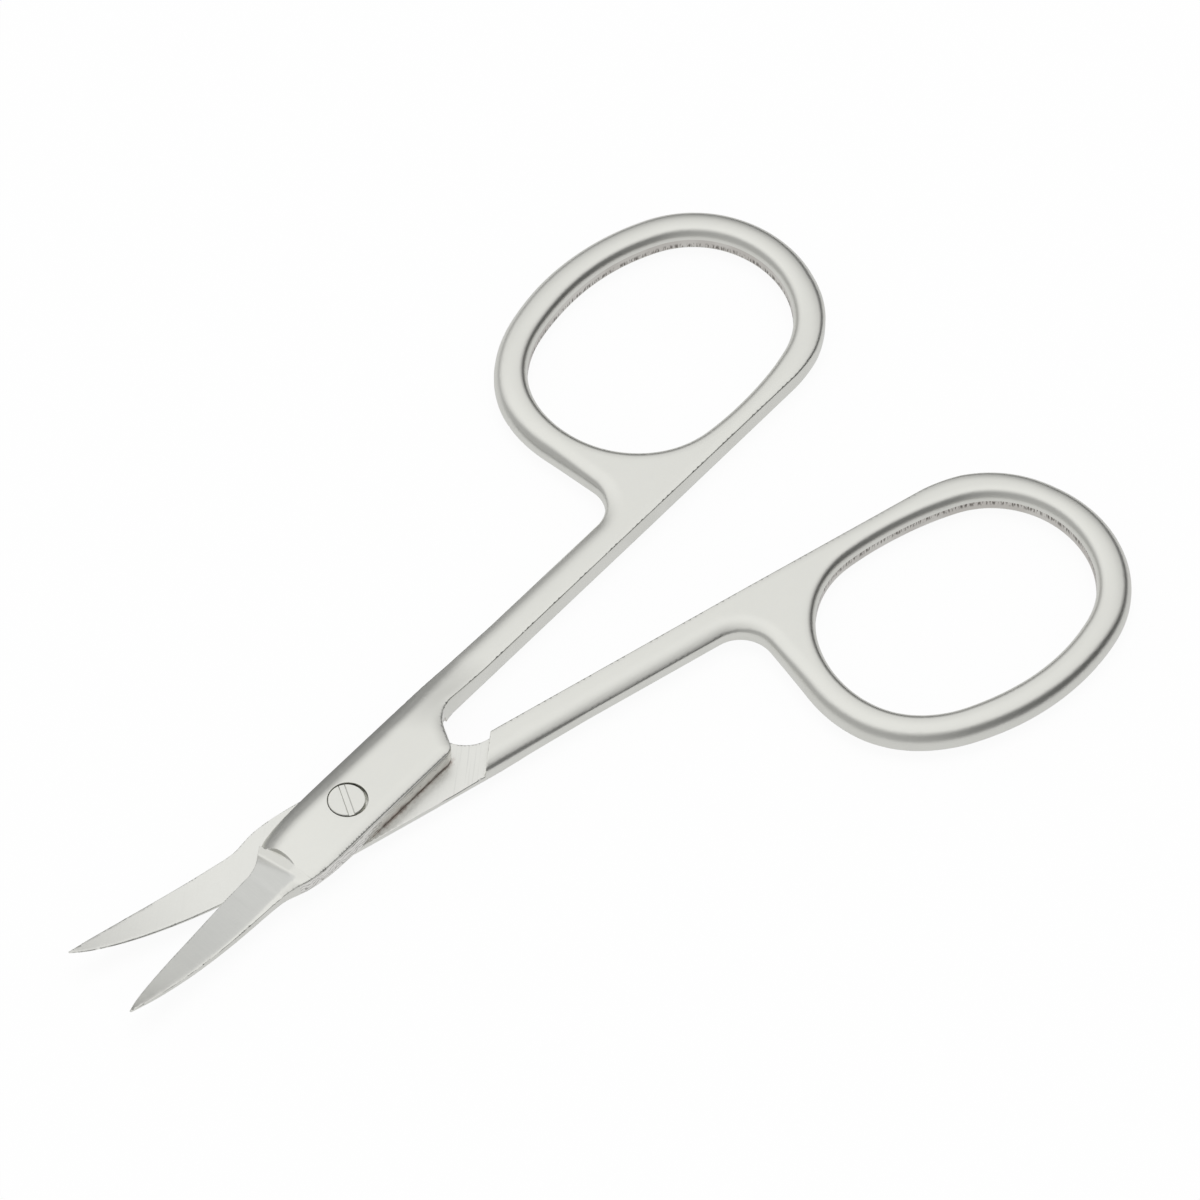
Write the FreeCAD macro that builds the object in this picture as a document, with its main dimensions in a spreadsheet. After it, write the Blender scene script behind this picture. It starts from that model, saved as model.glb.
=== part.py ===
import FreeCAD, Part
import math
import os
import Sketcher
from FreeCAD import Placement, Rotation, Vector

# Cuticle scissors: two forged halves and one slotted pivot screw.
# Frame: origin on the pivot axis, at the flat underside of the lower pivot block;
# +Z up along the pivot axis, +X from the pivot towards the blade tips.
# Each half is drawn in its own plan with the pivot axis at zero and z = 0 on its
# mating face. The upper half has its spine on +Y and its finger ring on -Y.
# The lower half is the same forging turned over about X, and only its blade
# differs, because both blades curve upwards.

SIZES = (
    ("opening_angle", 14.9, "angle between the halves at rest, degrees"),
    ("blade_reach", 26.2, "pivot axis to blade tip"),
    ("blade_root", 10.0, "pivot axis to the narrow end of the blade root"),
    ("blade_embed", 1.0, "blade carried back into the block from its front end"),
    ("root_spine_side", 1.84, "pivot line to the spine at the blade root"),
    ("root_edge_side", 1.76, "pivot line to the cutting edge at the blade root"),
    ("tip_side", 0.38, "pivot line to the blade tip, towards the spine"),
    ("tip_width", 0.16, "width left at the very tip"),
    ("root_thickness", 0.86, "blade thickness at the spine, root end"),
    ("tip_thickness", 0.24, "blade thickness at the spine, tip end"),
    ("edge_thickness", 0.16, "thickness left at the cutting edge"),
    ("spine_land", 0.42, "unground strip along the spine"),
    ("tip_land", 0.05, "unground strip left at the tip"),
    ("curve_start", 13.0, "pivot axis to where the blade begins to curve up"),
    ("curve_radius", 51.0, "radius of the upward curve"),
    ("blade_gap", 0.03, "each blade stands this far off the shared mating curve"),
    ("block_thickness", 1.85, "pivot block of one half"),
    ("block_half_width", 3.08, "pivot line to the spine side of the block"),
    ("block_outer_side", 3.45, "pivot line to the outer side of the block"),
    ("block_front", 7.4, "pivot axis to the front end of the block"),
    ("block_shoulder", 4.8, "pivot axis to where the block starts to narrow"),
    ("shoulder_round", 5.0, "radius where the block starts to narrow"),
    ("block_front_half", 2.72, "half width of the block at its front end"),
    ("block_nose", 1.42, "block thickness at its front end"),
    ("nose_start", 1.5, "pivot axis to where the block starts to thin"),
    ("nose_round", 8.0, "radius where the block starts to thin"),
    ("edge_nose", 1.0, "thickness of the ground root at its cutting side"),
    ("runout_depth", 0.4, "hollow of the grinding runout at the block front"),
    ("runout_round", 3.0, "radius of the grinding runout"),
    ("block_back", 9.25, "pivot axis to the back corner of the block"),
    ("block_corner", 1.1, "radius of the back corner of the block"),
    ("block_edge_wall", 0.35, "height left of the outer wall of the block, under its bevel"),
    ("block_edge_round", 2.0, "radius between the outer bevel and the face of the block"),
    ("notch_foot", 11.4, "pivot axis to the foot of the notch slope"),
    ("notch_round", 3.2, "radius in the notch"),
    ("ramp_top", 10.9, "pivot axis to the top of the ramp to the shank"),
    ("ramp_foot", 13.6, "pivot axis to the foot of the ramp to the shank"),
    ("ramp_round", 2.5, "radius at the top of the ramp"),
    ("ramp_foot_round", 0.5, "radius at the foot of the ramp"),
    ("step_inner", 13.5, "pivot axis to the lap step, at the inner face"),
    ("step_outer", 11.2, "pivot axis to the lap step, at the outer face"),
    ("handle_gap", 0.43, "pivot line to the flat inner face of the handle"),
    ("handle_thickness", 2.04, "thickness of the shank and ring"),
    ("shank_width", 2.74, "inner face to outer face of the shank"),
    ("crown_flat", 1.25, "flat part of the crown, from the inner face"),
    ("crown_drop", 0.5, "fall of the crown at the outer face"),
    ("near_centre_x", 48.82, "pivot axis to the ring end circle near the pivot"),
    ("near_centre_y", 11.4, "pivot line to that circle"),
    ("near_radius", 8.93, "radius of the finger hole near the pivot"),
    ("far_centre_x", 56.31, "pivot axis to the far ring end circle"),
    ("far_centre_y", 11.2, "pivot line to that circle"),
    ("far_radius", 8.25, "radius of the finger hole at its far end"),
    ("belly_radius", 19.2, "radius of the outer long side of the hole"),
    ("flat_radius", 30.1, "radius of the inner long side of the hole"),
    ("ring_band", 2.74, "width of the ring around the finger hole"),
    ("ring_outer_round", 0.7, "edge radius on the outside of the ring"),
    ("hole_chamfer", 0.4, "edge break around the finger hole"),
    ("web_round", 2.9, "fillet between the shank and the ring"),
    ("web_overlap", 0.9, "ring forging carried into the shank past the fillet"),
    ("shank_overlap", 4.0, "shank section carried into the ring web"),
    ("screw_head", 3.26, "pivot screw head diameter"),
    ("head_height", 0.8, "pivot screw head height"),
    ("head_sink", 0.03, "screw head below the block face"),
    ("plain_shank", 2.2, "plain shank diameter in the upper half"),
    ("thread_end", 1.9, "threaded end diameter in the lower half"),
    ("head_clearance", 0.07, "radial room around the screw head"),
    ("shank_clearance", 0.03, "radial room around the plain shank"),
    ("thread_clearance", 0.01, "radial room around the threaded end"),
    ("seat_clearance", 0.02, "room under the screw head"),
    ("slot_width", 0.5, "driver slot width"),
    ("slot_depth", 0.34, "driver slot depth"),
    ("slot_angle", 65.6, "driver slot direction from +X, degrees"),
    ("end_chamfer", 0.15, "chamfer on the threaded end"),
    ("overrun", 1.0, "how far every cutting tool runs past the metal"),
)

# Stations along the blade, from inside the block to the tip, as shares of that length.
station_shares = (0.0, 0.061, 0.121, 0.182, 0.33, 0.5, 0.67, 0.84, 1.0)
# How far the first stations still keep the width and height of the block.
spread_shares = (1.0, 0.89, 0.45, 0.0, 0.0, 0.0, 0.0, 0.0, 0.0)
rise_shares = (0.88, 0.75, 0.35, 0.0, 0.0, 0.0, 0.0, 0.0, 0.0)
edge_rise_shares = (1.0, 0.9, 0.55, 0.2, 0.0, 0.0, 0.0, 0.0, 0.0)
# The spine and the cutting edge sweep to the tip as powers of the way along the blade.
spine_power_share = 1.9
edge_power_share = 2.1

hole_radii = ("near_radius", "far_radius", "belly_radius", "flat_radius")

# Two coordinates that differ by less than this share of the handle thickness are the same.
same_place_share = 1e-6


class Term:
    """A size with its value and the expression that binds it to the sheet."""

    def __init__(self, value, text):
        self.value = value
        self.text = text

    def _join(self, other, sign, value):
        text = other.text if isinstance(other, Term) else repr(other)
        return Term(value, "(%s %s %s)" % (self.text, sign, text))

    def __add__(self, other):
        return self._join(other, "+", self.value + number(other))

    def __sub__(self, other):
        return self._join(other, "-", self.value - number(other))

    def __mul__(self, other):
        return self._join(other, "*", self.value * number(other))

    def __truediv__(self, other):
        return self._join(other, "/", self.value / number(other))

    def __neg__(self):
        return Term(-self.value, "(0 - %s)" % self.text)


def number(item):
    return item.value if isinstance(item, Term) else item


NOTHING = Term(0.0, "0")


def between(first, last, share):
    return first + (last - first) * share


def make_sheet(doc):
    sheet = doc.addObject("Spreadsheet::Sheet", "Sizes")
    for row, (name, value, note) in enumerate(SIZES, start=1):
        sheet.set("A%d" % row, note)
        sheet.set("B%d" % row, str(value))
        sheet.setAlias("B%d" % row, name)
    doc.recompute()
    return {name: Term(float(sheet.get(name)), "Sizes.%s" % name) for name, _, _ in SIZES}


def origin_plane(body, role):
    for feature in body.Origin.OriginFeatures:
        if feature.Role == role:
            return feature
    raise ValueError("no origin plane " + role)


def new_sketch(body, name, role, offset=None):
    sketch = body.newObject("Sketcher::SketchObject", name)
    sketch.AttachmentSupport = [(origin_plane(body, role), "")]
    sketch.MapMode = "FlatFace"
    if offset is not None:
        sketch.AttachmentOffset = Placement(Vector(0, 0, number(offset)), Rotation())
        sketch.setExpression("AttachmentOffset.Base.z", offset.text)
    return sketch


def bind(sketch, kind, *where, to):
    index = sketch.addConstraint(Sketcher.Constraint(kind, *where, number(to)))
    sketch.setExpression("Constraints[%d]" % index, to.text)


def pin_point(sketch, geometry, position, x, y):
    bind(sketch, "DistanceX", -1, 1, geometry, position, to=x)
    bind(sketch, "DistanceY", -1, 1, geometry, position, to=y)


def point(x, y):
    return Vector(number(x), number(y), 0)


def polygon(sketch, corners):
    """Closed outline through corners (x, y, radius or None), bound to the sheet."""
    count = len(corners)
    spots = [point(x, y) for x, y, _ in corners]
    ends = []
    arcs = []
    for i, (_, _, radius) in enumerate(corners):
        before = (spots[i - 1] - spots[i]).normalize()
        after = (spots[(i + 1) % count] - spots[i]).normalize()
        if radius is None:
            ends.append((spots[i], spots[i]))
            arcs.append(None)
            continue
        half = before.getAngle(after) / 2
        reach = number(radius) / math.tan(half)
        centre = spots[i] + (before + after).normalize() * (number(radius) / math.sin(half))
        first = spots[i] + before * reach
        last = spots[i] + after * reach
        ends.append((first, last))
        arcs.append((centre, first, last))
    lines = []
    for i in range(count):
        start = ends[i][1]
        stop = ends[(i + 1) % count][0]
        lines.append(sketch.addGeometry(Part.LineSegment(start, stop), False))
    for i, (x, y, radius) in enumerate(corners):
        into = lines[i - 1]
        out = lines[i]
        if radius is None:
            sketch.addConstraint(Sketcher.Constraint("Coincident", into, 2, out, 1))
            pin_point(sketch, out, 1, x, y)
            continue
        centre, first, last = arcs[i]
        turn = (first - centre).cross(last - centre).z
        low, high = (first, last) if turn > 0 else (last, first)
        arc = sketch.addGeometry(arc_between(centre, low, high), False)
        near, far = (1, 2) if turn > 0 else (2, 1)
        sketch.addConstraint(Sketcher.Constraint("Tangent", into, 2, arc, near))
        sketch.addConstraint(Sketcher.Constraint("Tangent", arc, far, out, 1))
        bind(sketch, "Radius", arc, to=radius)
        mark = sketch.addGeometry(Part.Point(spots[i]), True)
        pin_point(sketch, mark, 1, x, y)
        sketch.addConstraint(Sketcher.Constraint("PointOnObject", mark, 1, into))
        sketch.addConstraint(Sketcher.Constraint("PointOnObject", mark, 1, out))
    return sketch


def arc_between(centre, low, high):
    """Counter-clockwise arc about centre from low to high."""
    start = math.atan2(low.y - centre.y, low.x - centre.x)
    stop = math.atan2(high.y - centre.y, high.x - centre.x)
    if stop <= start:
        stop += 2 * math.pi
    circle = Part.Circle(centre, Vector(0, 0, 1), (low - centre).Length)
    return Part.ArcOfCircle(circle, start, stop)


def pad(body, name, sketch, length, both_ways=False, downwards=False):
    feature = body.newObject("PartDesign::Pad", name)
    feature.Profile = sketch
    feature.Length = number(length)
    feature.setExpression("Length", length.text)
    feature.Midplane = both_ways
    feature.Reversed = downwards
    return settle(body, feature, name, grows=True)


def pocket(body, name, sketch, both_ways=True, downwards=True, length=None):
    feature = body.newObject("PartDesign::Pocket", name)
    feature.Profile = sketch
    if length is None:
        feature.Type = "ThroughAll"
    else:
        feature.Length = number(length)
        feature.setExpression("Length", length.text)
    feature.Midplane = both_ways
    feature.Reversed = not downwards
    return settle(body, feature, name, grows=False)


def settle(body, feature, name, grows):
    """Recompute one feature and check that it added or removed metal."""
    before = feature.BaseFeature.Shape.Volume if feature.BaseFeature else 0
    body.Document.recompute()
    after = feature.Shape.Volume
    if (after > before) != grows:
        raise RuntimeError("%s changed the volume from %.3f to %.3f" % (name, before, after))
    return feature


def dress_edges(body, kind, name, base, size, chosen):
    """Fillet or chamfer the chosen edges; kind is the feature and the name of its size."""
    edges = ["Edge%d" % (i + 1) for i, edge in enumerate(base.Shape.Edges) if chosen(edge)]
    if not edges:
        raise RuntimeError("no edge for " + name)
    feature = body.newObject("PartDesign::" + kind, name)
    feature.Base = (base, edges)
    property_name = {"Fillet": "Radius", "Chamfer": "Size"}[kind]
    setattr(feature, property_name, number(size))
    feature.setExpression(property_name, size.text)
    body.Document.recompute()
    return feature


class Half:
    """One forged half; side is 1 for the upper half and -1 for the lower one."""

    def __init__(self, doc, sizes, name, side):
        self.sizes = sizes
        self.side = side
        self.body = doc.addObject("PartDesign::Body", name)
        self.body.Label = name

    def turned(self, term):
        return term if self.side > 0 else -term

    def plan(self, name, corners):
        sketch = new_sketch(self.body, name, "XY_Plane")
        return polygon(sketch, [(x, self.turned(y), r) for x, y, r in corners])

    def profile(self, name, corners):
        sketch = new_sketch(self.body, name, "XZ_Plane")
        return polygon(sketch, [(x, self.turned(z), r) for x, z, r in corners])

    def section(self, name, station, corners):
        sketch = new_sketch(self.body, name, "YZ_Plane", station)
        return polygon(sketch, corners)

    def build(self, opening, lift):
        self.ring()
        self.shank()
        self.block()
        self.blade()
        self.pivot_hole()
        angle = self.side * number(opening) / 2
        turn = Rotation(Vector(0, 0, 1), angle)
        self.body.Placement = Placement(Vector(0, 0, number(lift)), turn)
        text = "%d * %s / 2" % (self.side, opening.text)
        self.body.setExpression("Placement.Rotation.Angle", text)
        self.body.setExpression("Placement.Base.z", lift.text)
        return self.body

    def oval(self, extra):
        """Centres, radii and tangent points of the four arcs, extra beyond the hole."""
        z = self.sizes
        near = point(-z["near_centre_x"], self.turned(-z["near_centre_y"]))
        far = point(-z["far_centre_x"], self.turned(-z["far_centre_y"]))
        radii = {
            "near": z["near_radius"] + extra,
            "far": z["far_radius"] + extra,
            "belly": z["belly_radius"] + extra,
            "flat": z["flat_radius"] + extra,
        }
        belly = self.inner_tangent_centre(near, far, radii, "belly", self.side)
        flat = self.inner_tangent_centre(near, far, radii, "flat", -self.side)
        centres = {"near": near, "far": far, "belly": belly, "flat": flat}
        joints = {}
        for long_side in ("belly", "flat"):
            for end in ("near", "far"):
                away = (centres[end] - centres[long_side]).normalize()
                joints[long_side, end] = centres[long_side] + away * number(radii[long_side])
        return centres, radii, joints

    def inner_tangent_centre(self, near, far, radii, name, above):
        """Centre of the long arc that touches both end circles from inside."""
        to_near = number(radii[name]) - number(radii["near"])
        to_far = number(radii[name]) - number(radii["far"])
        apart = (far - near).Length
        along = (to_near ** 2 - to_far ** 2 + apart ** 2) / (2 * apart)
        across = math.sqrt(to_near ** 2 - along ** 2)
        way = (far - near).normalize()
        normal = Vector(-way.y, way.x, 0)
        if normal.y * above < 0:
            normal = -normal
        return near + way * along + normal * across

    def arc(self, sketch, centre, first, last):
        """Short arc from first to last; returns it with the positions of both ends."""
        forwards = (first - centre).cross(last - centre).z > 0
        low, high = (first, last) if forwards else (last, first)
        index = sketch.addGeometry(arc_between(centre, low, high), False)
        return (index, 1, 2) if forwards else (index, 2, 1)

    def pin_ends(self, sketch, near, far):
        z = self.sizes
        pin_point(sketch, near, 3, -z["near_centre_x"], self.turned(-z["near_centre_y"]))
        pin_point(sketch, far, 3, -z["far_centre_x"], self.turned(-z["far_centre_y"]))

    def hole_outline(self):
        sketch = new_sketch(self.body, "finger_hole_outline", "XY_Plane")
        centres, radii, joints = self.oval(NOTHING)
        ring = (
            ("near", joints["belly", "near"], joints["flat", "near"]),
            ("flat", joints["flat", "near"], joints["flat", "far"]),
            ("far", joints["flat", "far"], joints["belly", "far"]),
            ("belly", joints["belly", "far"], joints["belly", "near"]),
        )
        arcs = [self.arc(sketch, centres[name], a, b) for name, a, b in ring]
        for i, (name, _, _) in enumerate(ring):
            this = arcs[i]
            following = arcs[(i + 1) % 4]
            sketch.addConstraint(
                Sketcher.Constraint("Tangent", this[0], this[2], following[0], following[1])
            )
            bind(sketch, "Radius", this[0], to=radii[name])
        self.pin_ends(sketch, arcs[0][0], arcs[2][0])
        return sketch

    def ring_outline(self):
        """Outside of the ring, its web and a short stub of the shank."""
        z = self.sizes
        sketch = new_sketch(self.body, "ring_outline", "XY_Plane")
        centres, radii, joints = self.oval(z["ring_band"])
        near = centres["near"]
        outer_face = self.turned(-(z["handle_gap"] + z["shank_width"]))
        side = Vector(number(self.ring_side()), near.y, 0)
        corner = point(self.ring_side(), outer_face)
        up = Vector(0, -self.side, 0) * number(z["web_round"])
        over = Vector(number(z["web_round"]), 0, 0)
        crest = centres["flat"] + Vector(0, self.side * number(radii["flat"]), 0)
        stub_low = point(self.stub_end(), outer_face)
        stub_high = point(self.stub_end(), crest.y)
        belly = self.arc(sketch, centres["belly"], joints["belly", "far"], joints["belly", "near"])
        end = self.arc(sketch, near, joints["belly", "near"], side)
        wall = (sketch.addGeometry(Part.LineSegment(side, corner + up), False), 1, 2)
        web = self.arc(sketch, corner + up + over, corner + up, corner + over)
        low = (sketch.addGeometry(Part.LineSegment(corner + over, stub_low), False), 1, 2)
        stub = (sketch.addGeometry(Part.LineSegment(stub_low, stub_high), False), 1, 2)
        high = (sketch.addGeometry(Part.LineSegment(stub_high, crest), False), 1, 2)
        flat = self.arc(sketch, centres["flat"], crest, joints["flat", "far"])
        far = self.arc(sketch, centres["far"], joints["flat", "far"], joints["belly", "far"])
        chain = (belly, end, wall, web, low, stub, high, flat, far)
        sharp = {(low[0], stub[0]), (stub[0], high[0])}
        for i, this in enumerate(chain):
            following = chain[(i + 1) % len(chain)]
            kind = "Coincident" if (this[0], following[0]) in sharp else "Tangent"
            sketch.addConstraint(
                Sketcher.Constraint(kind, this[0], this[2], following[0], following[1])
            )
        for name, geometry in (("belly", belly), ("near", end), ("flat", flat), ("far", far)):
            bind(sketch, "Radius", geometry[0], to=radii[name])
        bind(sketch, "Radius", web[0], to=z["web_round"])
        self.pin_ends(sketch, end[0], far[0])
        sketch.addConstraint(Sketcher.Constraint("Vertical", wall[0]))
        sketch.addConstraint(Sketcher.Constraint("Horizontal", low[0]))
        sketch.addConstraint(Sketcher.Constraint("Horizontal", high[0]))
        sketch.addConstraint(Sketcher.Constraint("Tangent", flat[0], end[0]))
        sketch.addConstraint(Sketcher.Constraint("Vertical", stub[0]))
        pin_point(sketch, low[0], 2, self.stub_end(), outer_face)
        return sketch

    def ring_side(self):
        """Where the side of the ring that faces the pivot stands."""
        z = self.sizes
        return z["near_radius"] + z["ring_band"] - z["near_centre_x"]

    def stub_end(self):
        """Where the ring forging ends inside the shank."""
        z = self.sizes
        return self.ring_side() + z["web_round"] + z["web_overlap"]

    def ring(self):
        """Finger ring: rounded band, finger hole and the flat inner face."""
        z = self.sizes
        blank = pad(self.body, "ring", self.ring_outline(), z["handle_thickness"], both_ways=True)
        half = number(z["handle_thickness"]) / 2
        stub = number(self.stub_end())
        close = half * same_place_share

        def outside(edge):
            box = edge.BoundBox
            flat = abs(abs(box.Center.z) - half) < close
            return flat and abs(box.XMin - stub) > close

        dress_edges(self.body, "Fillet", "ring_outside", blank, z["ring_outer_round"], outside)
        hole = pocket(self.body, "finger_hole", self.hole_outline())
        wanted = [number(z[name]) for name in hole_radii]

        def around_hole(edge):
            if abs(abs(edge.CenterOfMass.z) - half) > close or not hasattr(edge.Curve, "Radius"):
                return False
            return any(abs(edge.Curve.Radius - radius) < close for radius in wanted)

        dress_edges(self.body, "Chamfer", "finger_hole_edge", hole, z["hole_chamfer"], around_hole)
        gap = z["handle_gap"]
        far_end = z["far_centre_x"] + z["far_radius"] + z["ring_band"] + z["overrun"]
        near_end = z["step_outer"]
        cut = self.plan("inner_face_outline", (
            (-far_end, -gap, None),
            (-near_end, -gap, None),
            (-near_end, z["ring_band"], None),
            (-far_end, z["ring_band"], None),
        ))
        pocket(self.body, "inner_face", cut)

    def shank(self):
        """Shank: flat inner face, crowned top and bottom, low outer wall."""
        z = self.sizes
        inner = -z["handle_gap"]
        outer = inner - z["shank_width"]
        half = z["handle_thickness"] / 2
        brow = inner - z["crown_flat"]
        edge = half - z["crown_drop"]
        start = self.ring_side() - z["shank_overlap"]
        sketch = new_sketch(self.body, "shank_section", "YZ_Plane", start)
        corners = ((inner, -half), (inner, half), (brow, half), (outer, edge),
                   (outer, -edge), (brow, -half))
        crown_section(sketch, [(self.turned(y), self.turned(w)) for y, w in corners])
        length = -(start + z["step_outer"])
        pad(self.body, "shank", sketch, length)

    def block(self):
        """Pivot block with its notch, lap step, ramp and thinned nose."""
        z = self.sizes
        outer = -(z["handle_gap"] + z["shank_width"])
        front = z["block_front"]
        runout = front - z["runout_depth"]
        outline = self.plan("block_outline", (
            (-z["ramp_foot"], -z["handle_gap"], None),
            (-z["notch_foot"], -z["handle_gap"], z["notch_round"]),
            (-z["block_back"], z["block_half_width"], z["block_corner"]),
            (z["block_shoulder"], z["block_half_width"], z["shoulder_round"]),
            (front, z["block_front_half"], None),
            (runout, -z["handle_gap"], z["runout_round"]),
            (front, -z["block_front_half"], None),
            (z["block_shoulder"], -z["block_outer_side"], z["shoulder_round"]),
            (-z["step_outer"], -z["block_outer_side"], z["shoulder_round"]),
            (-z["ramp_foot"], outer, None),
        ))
        down = self.side < 0
        pad(self.body, "block", outline, z["block_thickness"], downwards=down)
        lap = self.plan("lap_outline", (
            (-z["step_inner"], -z["handle_gap"], None),
            (-z["step_inner"], z["overrun"], None),
            (z["overrun"], z["overrun"], None),
            (z["overrun"], -(z["block_outer_side"] + z["overrun"]), None),
            (-z["step_outer"], -(z["block_outer_side"] + z["overrun"]), None),
            (-z["step_outer"], outer, None),
        ))
        pocket(self.body, "lap", lap, both_ways=False, downwards=not down,
               length=z["handle_thickness"])
        half = z["handle_thickness"] / 2
        above = z["block_thickness"] + z["overrun"]
        bevel_top = z["block_outer_side"] - (z["block_thickness"] - z["block_edge_wall"])
        past_side = z["block_outer_side"] + z["overrun"]
        bevel_corners = (
            (-past_side, z["block_edge_wall"] - z["overrun"], None),
            (-bevel_top, z["block_thickness"], z["block_edge_round"]),
            (NOTHING, z["block_thickness"], None),
            (NOTHING, above, None),
            (-past_side, above, None),
        )
        bevel = self.section("bevel_outline", -z["ramp_foot"], [
            (self.turned(y), self.turned(w), radius) for y, w, radius in bevel_corners
        ])
        pocket(self.body, "bevel", bevel, both_ways=False, downwards=False,
               length=z["ramp_foot"] + front + z["overrun"])
        ramp = self.profile("ramp_outline", (
            (-(z["ramp_foot"] + z["overrun"]), half, None),
            (-z["ramp_foot"], half, z["ramp_foot_round"]),
            (-z["ramp_top"], z["block_thickness"], z["ramp_round"]),
            (-(z["ramp_top"] - z["overrun"]), z["block_thickness"], None),
            (-(z["ramp_top"] - z["overrun"]), above, None),
            (-(z["ramp_foot"] + z["overrun"]), above, None),
        ))
        pocket(self.body, "ramp", ramp)
        fall = z["block_thickness"] - z["block_nose"]
        beyond = z["block_nose"] - fall * (z["overrun"] / (front - z["nose_start"]))
        nose = self.profile("nose_outline", (
            (z["nose_start"] - z["overrun"], z["block_thickness"], None),
            (z["nose_start"], z["block_thickness"], z["nose_round"]),
            (front + z["overrun"], beyond, None),
            (front + z["overrun"], above, None),
            (z["nose_start"] - z["overrun"], above, None),
        ))
        pocket(self.body, "nose", nose)

    def blade(self):
        """Curved blade, lofted through sections that taper to the tip."""
        z = self.sizes
        start = z["block_front"] - z["blade_embed"]
        length = z["blade_reach"] - start
        root = (z["blade_root"] - start) / length
        sections = []
        for i, share in enumerate(station_shares):
            station = start + length * share
            way = max(0.0, (share - root.value) / (1 - root.value))
            sections.append(self.section(
                "blade_section_%d" % (i + 1), station, self.blade_corners(i, station, way)
            ))
        feature = self.body.newObject("PartDesign::AdditiveLoft", "blade")
        feature.Profile = sections[0]
        feature.Sections = sections[1:]
        feature.Ruled = False
        settle(self.body, feature, "blade", grows=True)

    def blade_corners(self, i, station, way):
        z = self.sizes
        spine_root = between(z["root_spine_side"], z["block_front_half"], spread_shares[i])
        edge_root = between(z["root_edge_side"], z["block_front_half"], spread_shares[i])
        half_tip = z["tip_width"] / 2
        spine = between(spine_root, z["tip_side"] + half_tip, way ** spine_power_share)
        edge = between(-edge_root, z["tip_side"] - half_tip, way ** edge_power_share)
        ground = between(z["root_thickness"], z["tip_thickness"], way)
        thick = between(ground, z["block_nose"], rise_shares[i])
        thin = between(z["edge_thickness"], z["edge_nose"], edge_rise_shares[i])
        land = between(z["spine_land"], z["tip_land"], way)
        curve = NOTHING
        if station.value > z["curve_start"].value:
            past = station - z["curve_start"]
            curve = past * past / (z["curve_radius"] * 2)
        corners = (
            (edge, z["blade_gap"]),
            (spine, z["blade_gap"]),
            (spine, thick),
            (spine - land, thick),
            (edge, thin),
        )
        return [(self.turned(y), curve + self.turned(w), None) for y, w in corners]

    def pivot_hole(self):
        z = self.sizes
        if self.side > 0:
            bore = z["plain_shank"] / 2 + z["shank_clearance"]
            round_hole(self.body, "shank_bore", bore)
            seat = z["block_thickness"] - z["head_sink"] - z["head_height"] - z["seat_clearance"]
            head = z["screw_head"] / 2 + z["head_clearance"]
            round_hole(self.body, "head_recess", head, seat, z["block_thickness"])
        else:
            round_hole(self.body, "thread_bore", z["thread_end"] / 2 + z["thread_clearance"])


def crown_section(sketch, corners):
    """Section of the shank; the crown falls to the outer wall in one arc each side."""
    spots = [point(y, w) for y, w in corners]
    inner_low, inner_high, brow_high, edge_high, edge_low, brow_low = range(6)
    pieces = []
    for a, b, curved in ((0, 1, False), (1, 2, False), (2, 3, True), (3, 4, False),
                         (4, 5, True), (5, 0, False)):
        if not curved:
            pieces.append((sketch.addGeometry(Part.LineSegment(spots[a], spots[b]), False), 1, 2))
            continue
        brow = spots[brow_high] if a == brow_high else spots[brow_low]
        edge = spots[edge_high] if a == brow_high else spots[edge_low]
        run = abs(brow.x - edge.x)
        drop = abs(brow.y - edge.y)
        radius = (run ** 2 + drop ** 2) / (2 * drop)
        inwards = -1 if brow.y > 0 else 1
        centre = Vector(brow.x, brow.y + inwards * radius, 0)
        forwards = (spots[a] - centre).cross(spots[b] - centre).z > 0
        low, high = (spots[a], spots[b]) if forwards else (spots[b], spots[a])
        index = sketch.addGeometry(arc_between(centre, low, high), False)
        pieces.append((index, 1, 2) if forwards else (index, 2, 1))
    for i, this in enumerate(pieces):
        following = pieces[(i + 1) % len(pieces)]
        kind = "Tangent" if i in (1, 4) else "Coincident"
        sketch.addConstraint(
            Sketcher.Constraint(kind, this[0], this[2], following[0], following[1])
        )
    for i, this in enumerate(pieces):
        y, w = corners[i]
        pin_point(sketch, this[0], this[1], y, w)
    return sketch


def round_hole(body, name, radius, bottom=None, top=None):
    """Hole about the pivot axis, right through or from top down to bottom."""
    sketch = new_sketch(body, name + "_circle", "XY_Plane", bottom)
    circle = Part.Circle(Vector(0, 0, 0), Vector(0, 0, 1), number(radius))
    index = sketch.addGeometry(circle, False)
    sketch.addConstraint(Sketcher.Constraint("Coincident", index, 3, -1, 1))
    bind(sketch, "Radius", index, to=radius)
    if bottom is None:
        return pocket(body, name, sketch)
    return pocket(body, name, sketch, both_ways=False, downwards=False, length=top)


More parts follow.
